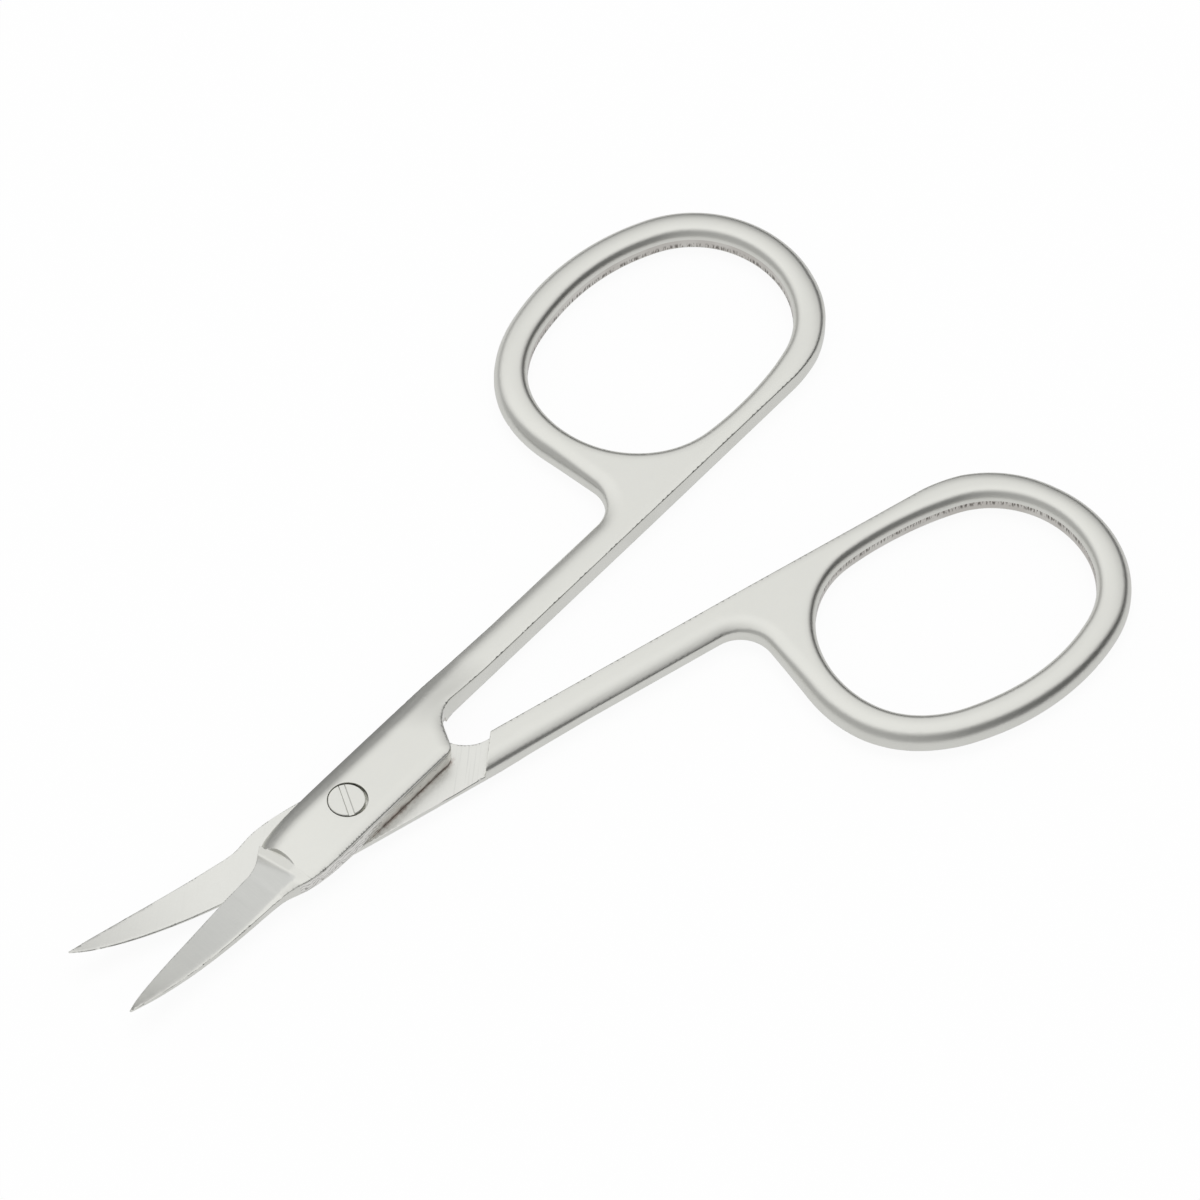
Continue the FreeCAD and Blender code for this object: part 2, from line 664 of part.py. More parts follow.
def make_screw(doc, z):
    """Slotted pivot screw: head, plain shank and threaded end."""
    body = doc.addObject("PartDesign::Body", "pivot_screw")
    body.Label = "pivot_screw"
    top = z["block_thickness"] - z["head_sink"]
    under = top - z["head_height"]
    low = -z["block_thickness"]
    head = z["screw_head"] / 2
    plain = z["plain_shank"] / 2
    thread = z["thread_end"] / 2
    sketch = polygon(new_sketch(body, "screw_profile", "XZ_Plane"), (
        (NOTHING, low, None),
        (thread - z["end_chamfer"], low, None),
        (thread, low + z["end_chamfer"], None),
        (thread, NOTHING, None),
        (plain, NOTHING, None),
        (plain, under, None),
        (head, under, None),
        (head, top, None),
        (NOTHING, top, None),
    ))
    turned = body.newObject("PartDesign::Revolution", "turned")
    turned.Profile = sketch
    turned.ReferenceAxis = (origin_plane(body, "Z_Axis"), [""])
    turned.Angle = 360
    settle(body, turned, "turned", grows=True)
    half = z["slot_width"] / 2
    past = head + z["overrun"]
    slot = polygon(new_sketch(body, "slot_outline", "XY_Plane", top - z["slot_depth"]), (
        (-past, -half, None),
        (past, -half, None),
        (past, half, None),
        (-past, half, None),
    ))
    pocket(body, "slot", slot, both_ways=False, downwards=False, length=z["block_thickness"])
    body.Placement = Placement(Vector(0, 0, number(z["block_thickness"])),
                               Rotation(Vector(0, 0, 1), number(z["slot_angle"])))
    body.setExpression("Placement.Rotation.Angle", z["slot_angle"].text)
    body.setExpression("Placement.Base.z", z["block_thickness"].text)
    return body


def check(doc, bodies):
    """Stop if any object failed or any sub-part is not one valid solid."""
    for item in doc.Objects:
        if "Invalid" in item.State or "Error" in item.State:
            raise RuntimeError("%s is %s" % (item.Name, item.State))
    for body in bodies:
        shape = body.Shape
        if shape.isNull() or not shape.isValid() or len(shape.Solids) != 1:
            raise RuntimeError(body.Label + " is not one valid solid")


def main():
    doc = FreeCAD.newDocument("cuticle_scissors")
    sizes = make_sheet(doc)
    lift = sizes["block_thickness"]
    opening = sizes["opening_angle"]
    bodies = [
        Half(doc, sizes, "upper_half", 1).build(opening, lift),
        Half(doc, sizes, "lower_half", -1).build(opening, lift),
        make_screw(doc, sizes),
    ]
    doc.recompute()
    check(doc, bodies)
    os.makedirs("parts", exist_ok=True)
    for body in bodies:
        body.Shape.exportStep(os.path.join("parts", body.Label + ".step"))
        box = body.Shape.BoundBox
        print("%s volume %.2f box %s" % (body.Label, body.Shape.Volume, box))


main()
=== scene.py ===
import logging
import math
from dataclasses import dataclass, field
from enum import Enum

import bpy
import numpy as np
from mathutils import Matrix, Vector, geometry


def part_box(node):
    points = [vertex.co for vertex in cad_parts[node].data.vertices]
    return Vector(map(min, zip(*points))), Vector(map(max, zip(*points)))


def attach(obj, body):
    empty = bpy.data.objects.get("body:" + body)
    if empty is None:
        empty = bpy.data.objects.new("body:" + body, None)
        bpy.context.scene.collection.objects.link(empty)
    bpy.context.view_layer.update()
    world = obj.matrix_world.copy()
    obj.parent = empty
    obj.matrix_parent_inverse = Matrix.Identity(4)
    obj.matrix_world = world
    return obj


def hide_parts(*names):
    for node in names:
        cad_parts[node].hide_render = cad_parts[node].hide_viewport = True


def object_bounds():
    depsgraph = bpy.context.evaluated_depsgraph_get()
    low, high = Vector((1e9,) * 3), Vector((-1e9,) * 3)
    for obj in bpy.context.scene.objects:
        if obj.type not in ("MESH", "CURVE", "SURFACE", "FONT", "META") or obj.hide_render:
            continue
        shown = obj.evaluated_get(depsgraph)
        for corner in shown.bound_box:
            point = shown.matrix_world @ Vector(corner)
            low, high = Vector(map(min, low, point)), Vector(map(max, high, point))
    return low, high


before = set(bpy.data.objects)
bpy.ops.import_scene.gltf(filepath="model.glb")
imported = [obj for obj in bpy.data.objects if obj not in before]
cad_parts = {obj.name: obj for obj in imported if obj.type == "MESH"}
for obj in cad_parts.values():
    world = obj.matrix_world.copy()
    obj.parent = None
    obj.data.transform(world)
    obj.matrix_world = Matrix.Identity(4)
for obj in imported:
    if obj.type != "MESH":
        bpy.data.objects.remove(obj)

# Cuticle scissors: two forged halves and the slotted screw that they turn on.
# Each half is shaped in its own plan, in millimetres: pivot axis at zero, blade along +X,
# z = 0 on the mating face and +z towards the outside of the scissors.
# The plan is turned over for the lower half, then opened about the pivot and lifted.

MM = 0.001
log = logging.getLogger("scissors")

CAD_LOW, CAD_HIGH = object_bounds()


class Side(Enum):
    """Which half of the scissors a forging is."""

    UPPER = 1
    LOWER = -1


class Finish(Enum):
    """The finishes of the steel, as indices of the material slots of a half."""

    SATIN = 0
    FILED = 1
    LAPPED = 2
    GROUND = 3
    DRESSED = 4


@dataclass(frozen=True)
class EdgeForm:
    """How a face falls away towards an edge of the plan, in millimetres.

    The crown starts to fall at reach from the edge and has fallen by drop at the edge,
    where a corner of the given radius turns into the wall.
    """

    reach: float
    drop: float
    radius: float

    def row(self) -> np.ndarray:
        """The form as an array row."""
        return np.array((self.reach, self.drop, self.radius))


def fall(gap: np.ndarray, forms: np.ndarray) -> np.ndarray:
    """Depth of a face below its level near an edge.

    Args:
        gap: Distances from the edge.
        forms: One row of reach, drop and radius for each distance.

    Returns:
        The depths, in millimetres.
    """
    reach, drop, radius = forms[:, 0], forms[:, 1], forms[:, 2]
    share = np.clip(1.0 - gap / reach, 0.0, 1.0)
    inside = np.clip(radius - gap, 0.0, radius)
    return drop * share ** 2 + radius - np.sqrt(radius ** 2 - inside ** 2)


def smooth_step(values: np.ndarray, first: float, last: float) -> np.ndarray:
    """Goes from 0 at first to 1 at last, level at both ends."""
    share = np.clip((values - first) / (last - first), 0.0, 1.0)
    return share * share * (3.0 - 2.0 * share)


def lower_of(a: np.ndarray, b: np.ndarray, blend: float) -> np.ndarray:
    """The lower of two heights, with a soft crease of about the width blend."""
    share = np.clip(0.5 + 0.5 * (b - a) / blend, 0.0, 1.0)
    return b + (a - b) * share - blend * share * (1.0 - share)


def line_points(first: tuple, last: tuple, spacing: float) -> np.ndarray:
    """Evenly spaced points from first up to, and without, last."""
    a, b = np.array(first, float), np.array(last, float)
    count = max(1, math.ceil(np.linalg.norm(b - a) / spacing))
    return a + (b - a) * (np.arange(count) / count)[:, None]


def arc_points(centre: tuple, first: tuple, last: tuple, left: bool, spacing: float) -> np.ndarray:
    """Points on an arc about centre, from first up to, and without, last.

    Args:
        centre: Centre of the arc.
        first: Where the arc starts.
        last: Where it ends.
        left: True if it turns left, counter-clockwise.
        spacing: Largest distance between points.

    Returns:
        An array of points.
    """
    a = np.array(first, float) - centre
    b = np.array(last, float) - centre
    radius = np.linalg.norm(a)
    start, stop = math.atan2(a[1], a[0]), math.atan2(b[1], b[0])
    turn = (stop - start) % math.tau if left else -((start - stop) % math.tau)
    count = max(2, math.ceil(abs(turn) * radius / spacing), math.ceil(abs(turn) / 0.12))
    angles = start + turn * np.arange(count) / count
    return np.array(centre) + radius * np.column_stack((np.cos(angles), np.sin(angles)))


def curve_points(knots: list, spacing: float) -> np.ndarray:
    """Points on a smooth curve through the knots, from the first up to, and without, the last."""
    k = np.array(knots, float)
    ends = np.vstack((2 * k[0] - k[1], k, 2 * k[-1] - k[-2]))
    out = []
    for i in range(1, len(ends) - 2):
        before, a, b, after = ends[i - 1:i + 3]
        count = max(1, math.ceil(np.linalg.norm(b - a) / spacing))
        t = (np.arange(count) / count)[:, None]
        into = (b - before) * np.linalg.norm(b - a) / np.linalg.norm(b - before)
        away = (after - a) * np.linalg.norm(b - a) / np.linalg.norm(after - a)
        out.append((2 * t**3 - 3 * t**2 + 1) * a + (t**3 - 2 * t**2 + t) * into
                   + (3 * t**2 - 2 * t**3) * b + (t**3 - t**2) * away)
    return np.vstack(out)


def bend_points(first: tuple, corner: tuple, last: tuple, spacing: float) -> np.ndarray:
    """Points on a smooth bend that starts and ends on the two lines of a corner."""
    a, c, b = np.array(first, float), np.array(corner, float), np.array(last, float)
    count = max(4, math.ceil(np.linalg.norm(b - a) / spacing))
    t = (np.arange(count) / count)[:, None]
    return (1 - t) ** 2 * a + 2 * t * (1 - t) * c + t ** 2 * b


def corner_ends(before: tuple, spot: tuple, after: tuple, radius: float) -> tuple:
    """Where a round corner starts and ends, and its centre.

    Args:
        before: A point on the line into the corner.
        spot: The sharp corner.
        after: A point on the line out of it.
        radius: Radius of the round.

    Returns:
        The first tangent point, the last one, and the centre.
    """
    s = np.array(spot, float)
    into = (np.array(before, float) - s) / np.linalg.norm(np.array(before, float) - s)
    away = (np.array(after, float) - s) / np.linalg.norm(np.array(after, float) - s)
    half = math.acos(float(np.clip(into @ away, -1.0, 1.0))) / 2
    reach = radius / math.tan(half)
    middle = (into + away) / np.linalg.norm(into + away)
    return s + into * reach, s + away * reach, s + middle * radius / math.sin(half)


@dataclass
class Loop:
    """A closed outline of the plan, metal on its left, with the edge forms along it."""

    points: list = field(default_factory=list)
    outer_forms: list = field(default_factory=list)
    inner_forms: list = field(default_factory=list)

    def add(self, points: np.ndarray, outer: tuple, inner: tuple) -> None:
        """Adds a stretch.

        Args:
            points: Points of the stretch, without its last one.
            outer: Edge forms of the outer face, at its start and its end.
            inner: Edge forms of the face towards the other half.
        """
        share = (np.arange(len(points)) / len(points))[:, None]
        self.points.append(points)
        for kept, ends in ((self.outer_forms, outer), (self.inner_forms, inner)):
            kept.append(ends[0].row() + (ends[1].row() - ends[0].row()) * share)

    def close(self) -> None:
        """Turns the stretches into arrays, with the inward normal and length at each point."""
        self.points = np.vstack(self.points)
        self.outer_forms = np.vstack(self.outer_forms)
        self.inner_forms = np.vstack(self.inner_forms)
        step = np.roll(self.points, -1, 0) - self.points
        length = np.linalg.norm(step, axis=1)
        unit = step / length[:, None]
        tangent = unit + np.roll(unit, 1, 0)
        tangent /= np.linalg.norm(tangent, axis=1)[:, None]
        self.normals = np.column_stack((-tangent[:, 1], tangent[:, 0]))
        self.along = np.concatenate(([0.0], np.cumsum(length)[:-1]))

    def nearest(self, places: np.ndarray) -> tuple:
        """Distance from each place to the loop.

        Args:
            places: Plan points, one a row.

        Returns:
            The distances, and the index of the nearest loop point of each.
        """
        gaps = np.empty(len(places))
        index = np.empty(len(places), int)
        for start in range(0, len(places), 2000):
            part = places[start:start + 2000]
            square = ((part[:, None, :] - self.points[None]) ** 2).sum(2)
            near = square.argmin(1)
            best = np.sqrt(square[np.arange(len(part)), near])
            for way in (-1, 1):
                a = self.points[near]
                b = self.points[(near + way) % len(self.points)]
                share = ((part - a) * (b - a)).sum(1) / ((b - a) ** 2).sum(1)
                spot = a + (b - a) * np.clip(share, 0.0, 1.0)[:, None]
                best = np.minimum(best, np.linalg.norm(part - spot, axis=1))
            gaps[start:start + 2000] = best
            index[start:start + 2000] = near
        return gaps, index

    def contains(self, places: np.ndarray) -> np.ndarray:
        """True for each place inside the outline."""
        a = self.points
        b = np.roll(a, -1, 0)
        inside = np.zeros(len(places), bool)
        for p, q in zip(a, b):
            if p[1] == q[1]:
                continue
            crosses = (places[:, 1] < p[1]) != (places[:, 1] < q[1])
            at = p[0] + (places[:, 1] - p[1]) * (q[0] - p[0]) / (q[1] - p[1])
            inside ^= crosses & (places[:, 0] < at)
        return inside


@dataclass
class FingerRing:
    """The finger ring: an oval hole of four arcs and the band around it."""

    near_centre: tuple = (-48.82, -11.4)
    near_radius: float = 8.93
    far_centre: tuple = (-56.31, -11.2)
    far_radius: float = 8.25
    belly_radius: float = 19.2
    flat_radius: float = 30.1
    band: float = 2.66
    web_round: float = 2.9
    middle: tuple = (-52.6, -11.3)
    band_swell: tuple = ((0, 0.0), (127, 0.0), (142, 0.1), (152, 0.05), (165, 0.03), (180, 0.07),
                         (195, 0.14), (210, 0.2), (225, 0.16), (240, 0.12), (255, 0.08),
                         (270, 0.06), (285, 0.04), (300, 0.0), (315, 0.12), (330, 0.38),
                         (345, 0.24), (353, 0.08))
    hole_swell: tuple = ((0, -0.14), (15, -0.12), (30, -0.05), (45, 0.03), (60, 0.0),
                         (90, 0.0), (120, 0.08), (135, 0.08), (150, 0.0), (165, -0.06),
                         (180, -0.12), (195, -0.05), (210, 0.0), (240, 0.0), (255, -0.04),
                         (270, -0.08), (285, -0.14), (300, -0.14), (315, -0.04), (330, 0.18),
                         (345, 0.03))

    def oval(self, extra: float) -> dict:
        """The four arcs at a distance outside the hole.

        Args:
            extra: Distance outside the hole.

        Returns:
            Centre of each arc by name, and the points where the arcs meet.
        """
        near, far = np.array(self.near_centre), np.array(self.far_centre)
        found = {"near": near, "far": far}
        apart = np.linalg.norm(far - near)
        way = (far - near) / apart
        for name, radius, sign in (("belly", self.belly_radius, 1), ("flat", self.flat_radius, -1)):
            to_near, to_far = radius - self.near_radius, radius - self.far_radius
            along = (to_near ** 2 - to_far ** 2 + apart ** 2) / (2 * apart)
            across = math.sqrt(to_near ** 2 - along ** 2)
            normal = np.array((-way[1], way[0]))
            if normal[1] * sign < 0:
                normal = -normal
            centre = near + way * along + normal * across
            found[name] = centre
            for end in ("near", "far"):
                away = found[end] - centre
                found[name, end] = centre + away / np.linalg.norm(away) * (radius + extra)
        return found

    def swollen(self, points: np.ndarray, table: tuple) -> np.ndarray:
        """Moves points in or out, away from the middle of the ring.

        Args:
            points: Plan points.
            table: Pairs of direction in degrees and distance in millimetres.

        Returns:
            The moved points.
        """
        away = points - np.array(self.middle)
        turn = np.degrees(np.arctan2(away[:, 1], away[:, 0]))
        at, extra = np.array(table).T
        grown = np.mean([np.interp(turn + d, at, extra, period=360) for d in (-8, -4, 0, 4, 8)], 0)
        return points + away / np.linalg.norm(away, axis=1)[:, None] * grown[:, None]

    def side(self) -> float:
        """Where the side of the ring that faces the pivot stands."""
        return self.near_centre[0] + self.near_radius + self.band

    def hole(self, spacing: float, outer: EdgeForm, inner: EdgeForm) -> Loop:
        """The finger hole as a loop with the metal on its left."""
        arcs = self.oval(0.0)
        loop = Loop()
        chain = (("far", ("flat", "far"), ("belly", "far")),
                 ("belly", ("belly", "far"), ("belly", "near")),
                 ("near", ("belly", "near"), ("flat", "near")),
                 ("flat", ("flat", "near"), ("flat", "far")))
        for name, first, last in reversed(chain):
            points = arc_points(arcs[name], arcs[last], arcs[first], False, spacing)
            points = self.swollen(points, self.hole_swell)
            loop.add(points, (outer, outer), (inner, inner))
        loop.close()
        return loop


@dataclass
class Levels:
    """Thicknesses of a half, measured from its mating face."""

    block: float = 1.85
    nose: float = 1.42
    nose_start: float = 1.5
    nose_end: float = 7.4
    handle_half: float = 1.02
    ramp_middle: float = -13.0
    ramp_slant: float = 0.8
    ramp_length: float = 10.0
    handle_gap: float = 0.43
    handle_outer: float = -3.17
    block_outer: float = -3.45
    block_side: float = 3.08
    blade_gap: float = 0.03
    curve_start: float = 13.0
    curve_radius: float = 51.0


@dataclass
class Forging:
    """One half of the scissors: blade, pivot block, shank and finger ring in one piece."""

    side: Side
    levels: Levels = field(default_factory=Levels)
    ring: FingerRing = field(default_factory=FingerRing)
    opening: float = 14.9
    spacing: float = 0.3
    hole_spacing: float = 0.12
    wall_rows: int = 6
    # Width of the painted contact shade and stain beside the other half's block, in millimetres.
    contact_reach: float = 0.2

    crisp: EdgeForm = EdgeForm(0.5, 0.0, 0.05)
    blade_edge: EdgeForm = EdgeForm(0.5, 0.0, 0.03)
    blade_spine: EdgeForm = EdgeForm(0.6, 0.04, 0.05)
    honed: EdgeForm = EdgeForm(0.16, 0.08, 0.02)
    spine_edge: EdgeForm = EdgeForm(1.15, 0.21, 0.11)
    shank_inner: EdgeForm = EdgeForm(0.5, 0.03, 0.11)
    shank_outer: EdgeForm = EdgeForm(1.5, 0.48, 0.14)
    shank_lap: EdgeForm = EdgeForm(1.5, 0.5, 0.32)
    web_edge: EdgeForm = EdgeForm(1.5, 0.42, 0.45)
    web_edge_below: EdgeForm = EdgeForm(1.2, 0.3, 0.3)
    ring_edge: EdgeForm = EdgeForm(1.6, 0.42, 0.72)
    ring_edge_below: EdgeForm = EdgeForm(0.9, 0.05, 0.45)
    ring_flat: EdgeForm = EdgeForm(0.9, 0.14, 0.14)
    hole_edge: EdgeForm = EdgeForm(1.2, 0.2, 0.7)
    hole_edge_below: EdgeForm = EdgeForm(0.8, 0.0, 0.2)
    block_outer: EdgeForm = EdgeForm(2.2, 1.35, 0.15)

    lap_inner: float = -13.5
    lap_outer: float = -11.2
    lap_start: float = -13.5
    lap_wall: float = 0.012
    lap_change: tuple = (-24.0, -13.0)
    widening: tuple = (-21.0, -8.0)
    side_change: tuple = (-14.3, -6.8)
    runout_rise: float = 0.5
    runout_length: float = 1.2
    ring_bend: float = 1.8
    blade_tip: tuple = (26.15, 0.4)
    tip_half: float = 0.08
    root_end: float = 9.5
    root_top: float = 1.4
    root_slope: float = 0.17
    root_level_side: float = 0.8
    facet_start: float = 8.5
    facet_slant: float = -0.13
    facet_corner: float = 0.45
    # Where the facet's tint fades out towards the tip: painted light that offsets the shade of the blade's
    # upward curve.
    tip_painted_light: tuple = (15.5, 27.0)
    dressed_part: tuple = (-12.4, 8.6)
    step_place: float = 7.4
    step_bow: float = 0.3
    bore: float = 1.13
    recess: float = 1.65
    recess_floor: float = 1.0
    thread_bore: float = 0.96

    spine_middle: float = 0.35
    spine_knots: tuple = ((24.0, 0.84), (22.0, 1.09), (20.0, 1.29), (18.0, 1.44), (16.0, 1.56),
                          (14.0, 1.66), (12.0, 1.75), (10.4, 1.85), (9.5, 2.0), (8.6, 2.32),
                          (7.7, 2.62), (6.5, 2.86), (5.0, 3.01), (3.0, 3.08))
    edge_knots: tuple = ((4.0, -3.45), (5.4, -3.38), (6.5, -3.23), (7.3, -3.0), (8.0, -2.5),
                         (8.9, -2.0), (9.8, -1.76), (11.0, -1.74), (12.5, -1.71), (14.0, -1.6),
                         (16.0, -1.43), (18.0, -1.23), (20.0, -1.0), (22.0, -0.71), (24.0, -0.33),
                         (25.2, -0.02))

    spine_thickness: tuple = ((6.0, 1.85), (7.4, 1.72), (8.0, 1.5), (8.7, 1.28), (10.0, 0.9),
                              (12.0, 0.78), (16.0, 0.66), (20.0, 0.54), (24.0, 0.38), (26.3, 0.2))
    edge_thickness: tuple = ((6.0, 0.75), (8.0, 0.7), (9.0, 0.5), (10.0, 0.38), (12.0, 0.28),
                             (16.0, 0.24), (20.0, 0.2), (26.3, 0.1))
    land_width: tuple = ((8.0, 0.8), (9.0, 0.68), (10.0, 0.5), (13.0, 0.25), (18.0, 0.15),
                         (26.3, 0.05))

    def outline(self) -> Loop:
        """The outside of the plan, counter-clockwise from the blade tip."""
        lv = self.levels
        gap = self.spacing
        inner_y = -lv.handle_gap
        tip = np.array(self.blade_tip)
        spine_tip = tuple(tip + (0.0, self.tip_half))
        edge_tip = tuple(tip - (0.0, self.tip_half))
        loop = Loop()
        crisp = (self.crisp, self.crisp)
        points = curve_points([spine_tip, *self.spine_knots], gap)
        root = int(np.argmax(points[:, 0] < self.root_end))
        loop.add(points[:root], (self.blade_edge, self.blade_spine), crisp)
        loop.add(points[root:], (self.blade_spine, self.spine_edge), crisp)
        start = self.spine_knots[-1]
        shoulder, foot = (-9.25, lv.block_side), (-11.4, inner_y)
        first, last, centre = corner_ends(start, shoulder, foot, 1.1)
        spine = (self.spine_edge, self.spine_edge)
        loop.add(line_points(start, first, gap), spine, crisp)
        loop.add(arc_points(centre, first, last, True, gap), spine, crisp)
        notch_first, notch_last, notch = corner_ends(shoulder, foot, (-30.0, inner_y), 3.2)
        loop.add(line_points(last, notch_first, gap), spine, crisp)
        loop.add(arc_points(notch, notch_first, notch_last, False, gap),
                 (self.spine_edge, self.shank_inner), crisp)
        shank = (self.shank_inner, self.shank_inner)
        lap_first = (self.lap_inner + self.lap_wall, inner_y)
        lap_last = (self.lap_inner - self.lap_wall, inner_y)
        loop.add(line_points(notch_last, lap_first, gap), shank, shank)
        loop.add(line_points(lap_first, lap_last, gap), shank, shank)
        arcs = self.ring.oval(self.ring.band)
        reach = self.ring.flat_radius + self.ring.band
        cut_x = arcs["flat"][0] - math.sqrt(reach ** 2 - (inner_y - arcs["flat"][1]) ** 2)
        loop.add(line_points(lap_last, (-38.0, inner_y), gap), shank, shank)
        flat = (self.shank_inner, self.ring_flat)
        bend_first = (cut_x + self.ring_bend, inner_y)
        loop.add(line_points((-38.0, inner_y), bend_first, gap), flat, flat)
        self._ring_stretches(loop, arcs, (cut_x, inner_y))
        self._front_stretches(loop, edge_tip)
        tip_forms = (self.blade_edge, self.blade_edge)
        loop.add(line_points(edge_tip, spine_tip, gap / 4), tip_forms, tip_forms)
        loop.close()
        return loop

    def by_face(self, above: tuple, below: tuple) -> tuple:
        """Edge forms of the outer and the inner face, from those that look up and down at rest."""
        return (above, below) if self.side is Side.UPPER else (below, above)

    def _ring_stretches(self, loop: Loop, arcs: dict, cut: tuple) -> None:
        """Adds the ring from the end of its flat inner side, round to the lap step."""
        lv = self.levels
        gap = self.spacing
        outer_y = lv.handle_outer
        swell = self.ring.band_swell
        flat = (self.ring_flat, self.ring_edge), (self.ring_flat, self.ring_edge_below)
        ring = (self.ring_edge, self.ring_edge), (self.ring_edge_below, self.ring_edge_below)
        points = np.vstack((arc_points(arcs["flat"], cut, arcs["flat", "far"], True, gap),
                            arc_points(arcs["far"], arcs["flat", "far"], arcs["belly", "far"], True, gap)))
        points = self.ring.swollen(points, swell)
        past = points[np.linalg.norm(points - cut, axis=1) > self.ring_bend]
        bend = bend_points((cut[0] + self.ring_bend, cut[1]), cut, past[0], gap)
        half = len(bend) + len(past) // 3
        turn = np.vstack((bend, past))
        loop.add(turn[:half], *self.by_face((self.ring_flat, flat[0][1]), (self.ring_flat, flat[1][1])))
        loop.add(turn[half:], *self.by_face(*ring))
        points = arc_points(arcs["belly"], arcs["belly", "far"], arcs["belly", "near"], True, gap)
        loop.add(self.ring.swollen(points, swell), *self.by_face(*ring))
        side = (self.ring.side(), self.ring.near_centre[1])
        corner = (side[0], outer_y)
        web_first, web_last, web = corner_ends(side, corner, (-20.0, outer_y), self.ring.web_round)
        points = arc_points(arcs["near"], arcs["belly", "near"], side, True, gap)
        loop.add(self.ring.swollen(points, swell), *self.by_face(*ring))
        points = self.ring.swollen(line_points(side, web_first, gap), swell)
        loop.add(points, *self.by_face((self.ring_edge, self.web_edge),
                                       (self.ring_edge_below, self.web_edge_below)))
        loop.add(arc_points(web, web_first, web_last, False, gap),
                 *self.by_face((self.web_edge, self.shank_outer),
                               (self.web_edge_below, self.shank_outer)))
        forms = (self.shank_outer, self.shank_outer)
        loop.add(line_points(web_last, (self.widening[0], outer_y), gap), forms, forms)

    def _front_stretches(self, loop: Loop, edge_tip: tuple) -> None:
        """Adds the outer side of the block and the cutting edge."""
        gap = self.spacing
        crisp = (self.crisp, self.crisp)
        block = (self.block_outer, self.block_outer)
        lap_x = self._lap_end()
        stops = [self.widening[0], -17.0, self.side_change[0], -12.6, lap_x - self.lap_wall,
                 lap_x + self.lap_wall, -9.5, self.widening[1], self.side_change[1]]
        for first, last in zip(stops, stops[1:]):
            ends = [(x, self.outer_side(x)) for x in (first, last)]
            loop.add(line_points(*ends, gap), (self.side_form(first), self.side_form(last)),
                     (self.lap_form(first), self.lap_form(last)))
        knots = list(self.edge_knots)
        loop.add(line_points((stops[-1], self.outer_side(stops[-1])), knots[0], gap), block, crisp)
        loop.add(curve_points(knots[:4], gap / 2), block, crisp)
        edge = (self.blade_edge, self.blade_edge)
        loop.add(curve_points(knots[3:7], gap / 2), edge, (self.crisp, self.honed))
        honed = (self.honed, self.honed)
        loop.add(curve_points([*knots[6:], edge_tip], gap), edge, honed)

    def outer_side(self, x: float) -> float:
        """Where the straight outer side of the shank and the block stands at x."""
        return float(np.interp(x, self.widening, (self.levels.handle_outer, self.levels.block_outer)))

    def side_form(self, x: float) -> EdgeForm:
        """Edge form along the outer side, which goes from the shank's to the block's."""
        share = float(smooth_step(np.array(x), *self.side_change))
        return EdgeForm(*(self.shank_outer.row() * (1 - share) + self.block_outer.row() * share))

    def lap_form(self, x: float) -> EdgeForm:
        """Edge form of the inner face along the outer side, rounder towards the lap step."""
        share = float(smooth_step(np.array(x), *self.lap_change))
        return EdgeForm(*(self.shank_outer.row() * (1 - share) + self.shank_lap.row() * share))

    def _lap_end(self) -> float:
        """Where the lap step meets the outer side."""
        lv = self.levels
        slope = (self.lap_outer - self.lap_inner) / (lv.handle_outer + lv.handle_gap)
        x = self.lap_outer
        for _ in range(4):
            x = self.lap_inner + slope * (self.outer_side(x) + lv.handle_gap)
        return x

    def spine_line(self, x: np.ndarray) -> np.ndarray:
        """Spine side of the blade at each x."""
        knots = np.array([(self.blade_tip[0], self.blade_tip[1] + self.tip_half),
                          *self.spine_knots])[::-1]
        return np.interp(x, knots[:, 0], knots[:, 1])

    def edge_line(self, x: np.ndarray) -> np.ndarray:
        """Cutting edge of the blade at each x."""
        knots = np.array([*self.edge_knots,
                          (self.blade_tip[0], self.blade_tip[1] - self.tip_half)])
        return np.interp(x, knots[:, 0], knots[:, 1])

    def lift_of_curve(self, x: np.ndarray) -> np.ndarray:
        """How far both blades have curved up at each x, in the sense of this half."""
        past = np.clip(x - self.levels.curve_start, 0.0, None)
        return self.side.value * past ** 2 / (2 * self.levels.curve_radius)

    def block_level(self, x: np.ndarray, y: np.ndarray) -> np.ndarray:
        """Outer face of the shank, the ramp and the block, before their edges fall away."""
        lv = self.levels
        nose = smooth_step(x, lv.nose_start - 1.5, 2 * lv.nose_end - lv.nose_start + 1.5)
        block = lv.block - 2 * (lv.block - lv.nose) * nose
        ramp = x + lv.ramp_slant * (y + 1.0) - lv.ramp_middle
        climb = smooth_step(ramp, -lv.ramp_length / 2, lv.ramp_length / 2)
        return lv.handle_half + (block - lv.handle_half) * climb

    def ground_level(self, x: np.ndarray, y: np.ndarray) -> np.ndarray:
        """Surface that grinding leaves on the outside of the blade and its root.

        The root is nearly flat. The facet is ground into it at a slant, with a short
        hollow where the wheel ran out.
        """
        edge, spine = self.edge_line(x), self.spine_line(x)
        thin = np.interp(x, *np.array(self.edge_thickness).T)
        thick = np.interp(x, *np.array(self.spine_thickness).T)
        land = np.interp(x, *np.array(self.land_width).T)
        across = (y - edge) / np.maximum(spine - land - edge, self.tip_half)
        share = lower_of(across, np.ones_like(x), 0.05)
        border = self.facet_start + self.facet_slant * (y + 2.4)
        before = (border + 0.4 - x) / self.runout_length
        runout = self.runout_rise * np.clip(before, 0.0, 3.0) ** 2
        facet = thin + (thick - thin) * share + runout
        root = self.root_top - self.root_slope * np.clip(self.root_level_side - y, 0.0, None)
        return lower_of(root, facet, 0.07)

    def step_line(self, y: np.ndarray) -> np.ndarray:
        """Where the grinding runs out at the front of the block."""
        middle, half = -0.65, 1.6
        bow = np.clip(1 - ((y - middle) / half) ** 2, 0.0, 1.0)
        return self.step_place - self.step_bow * bow

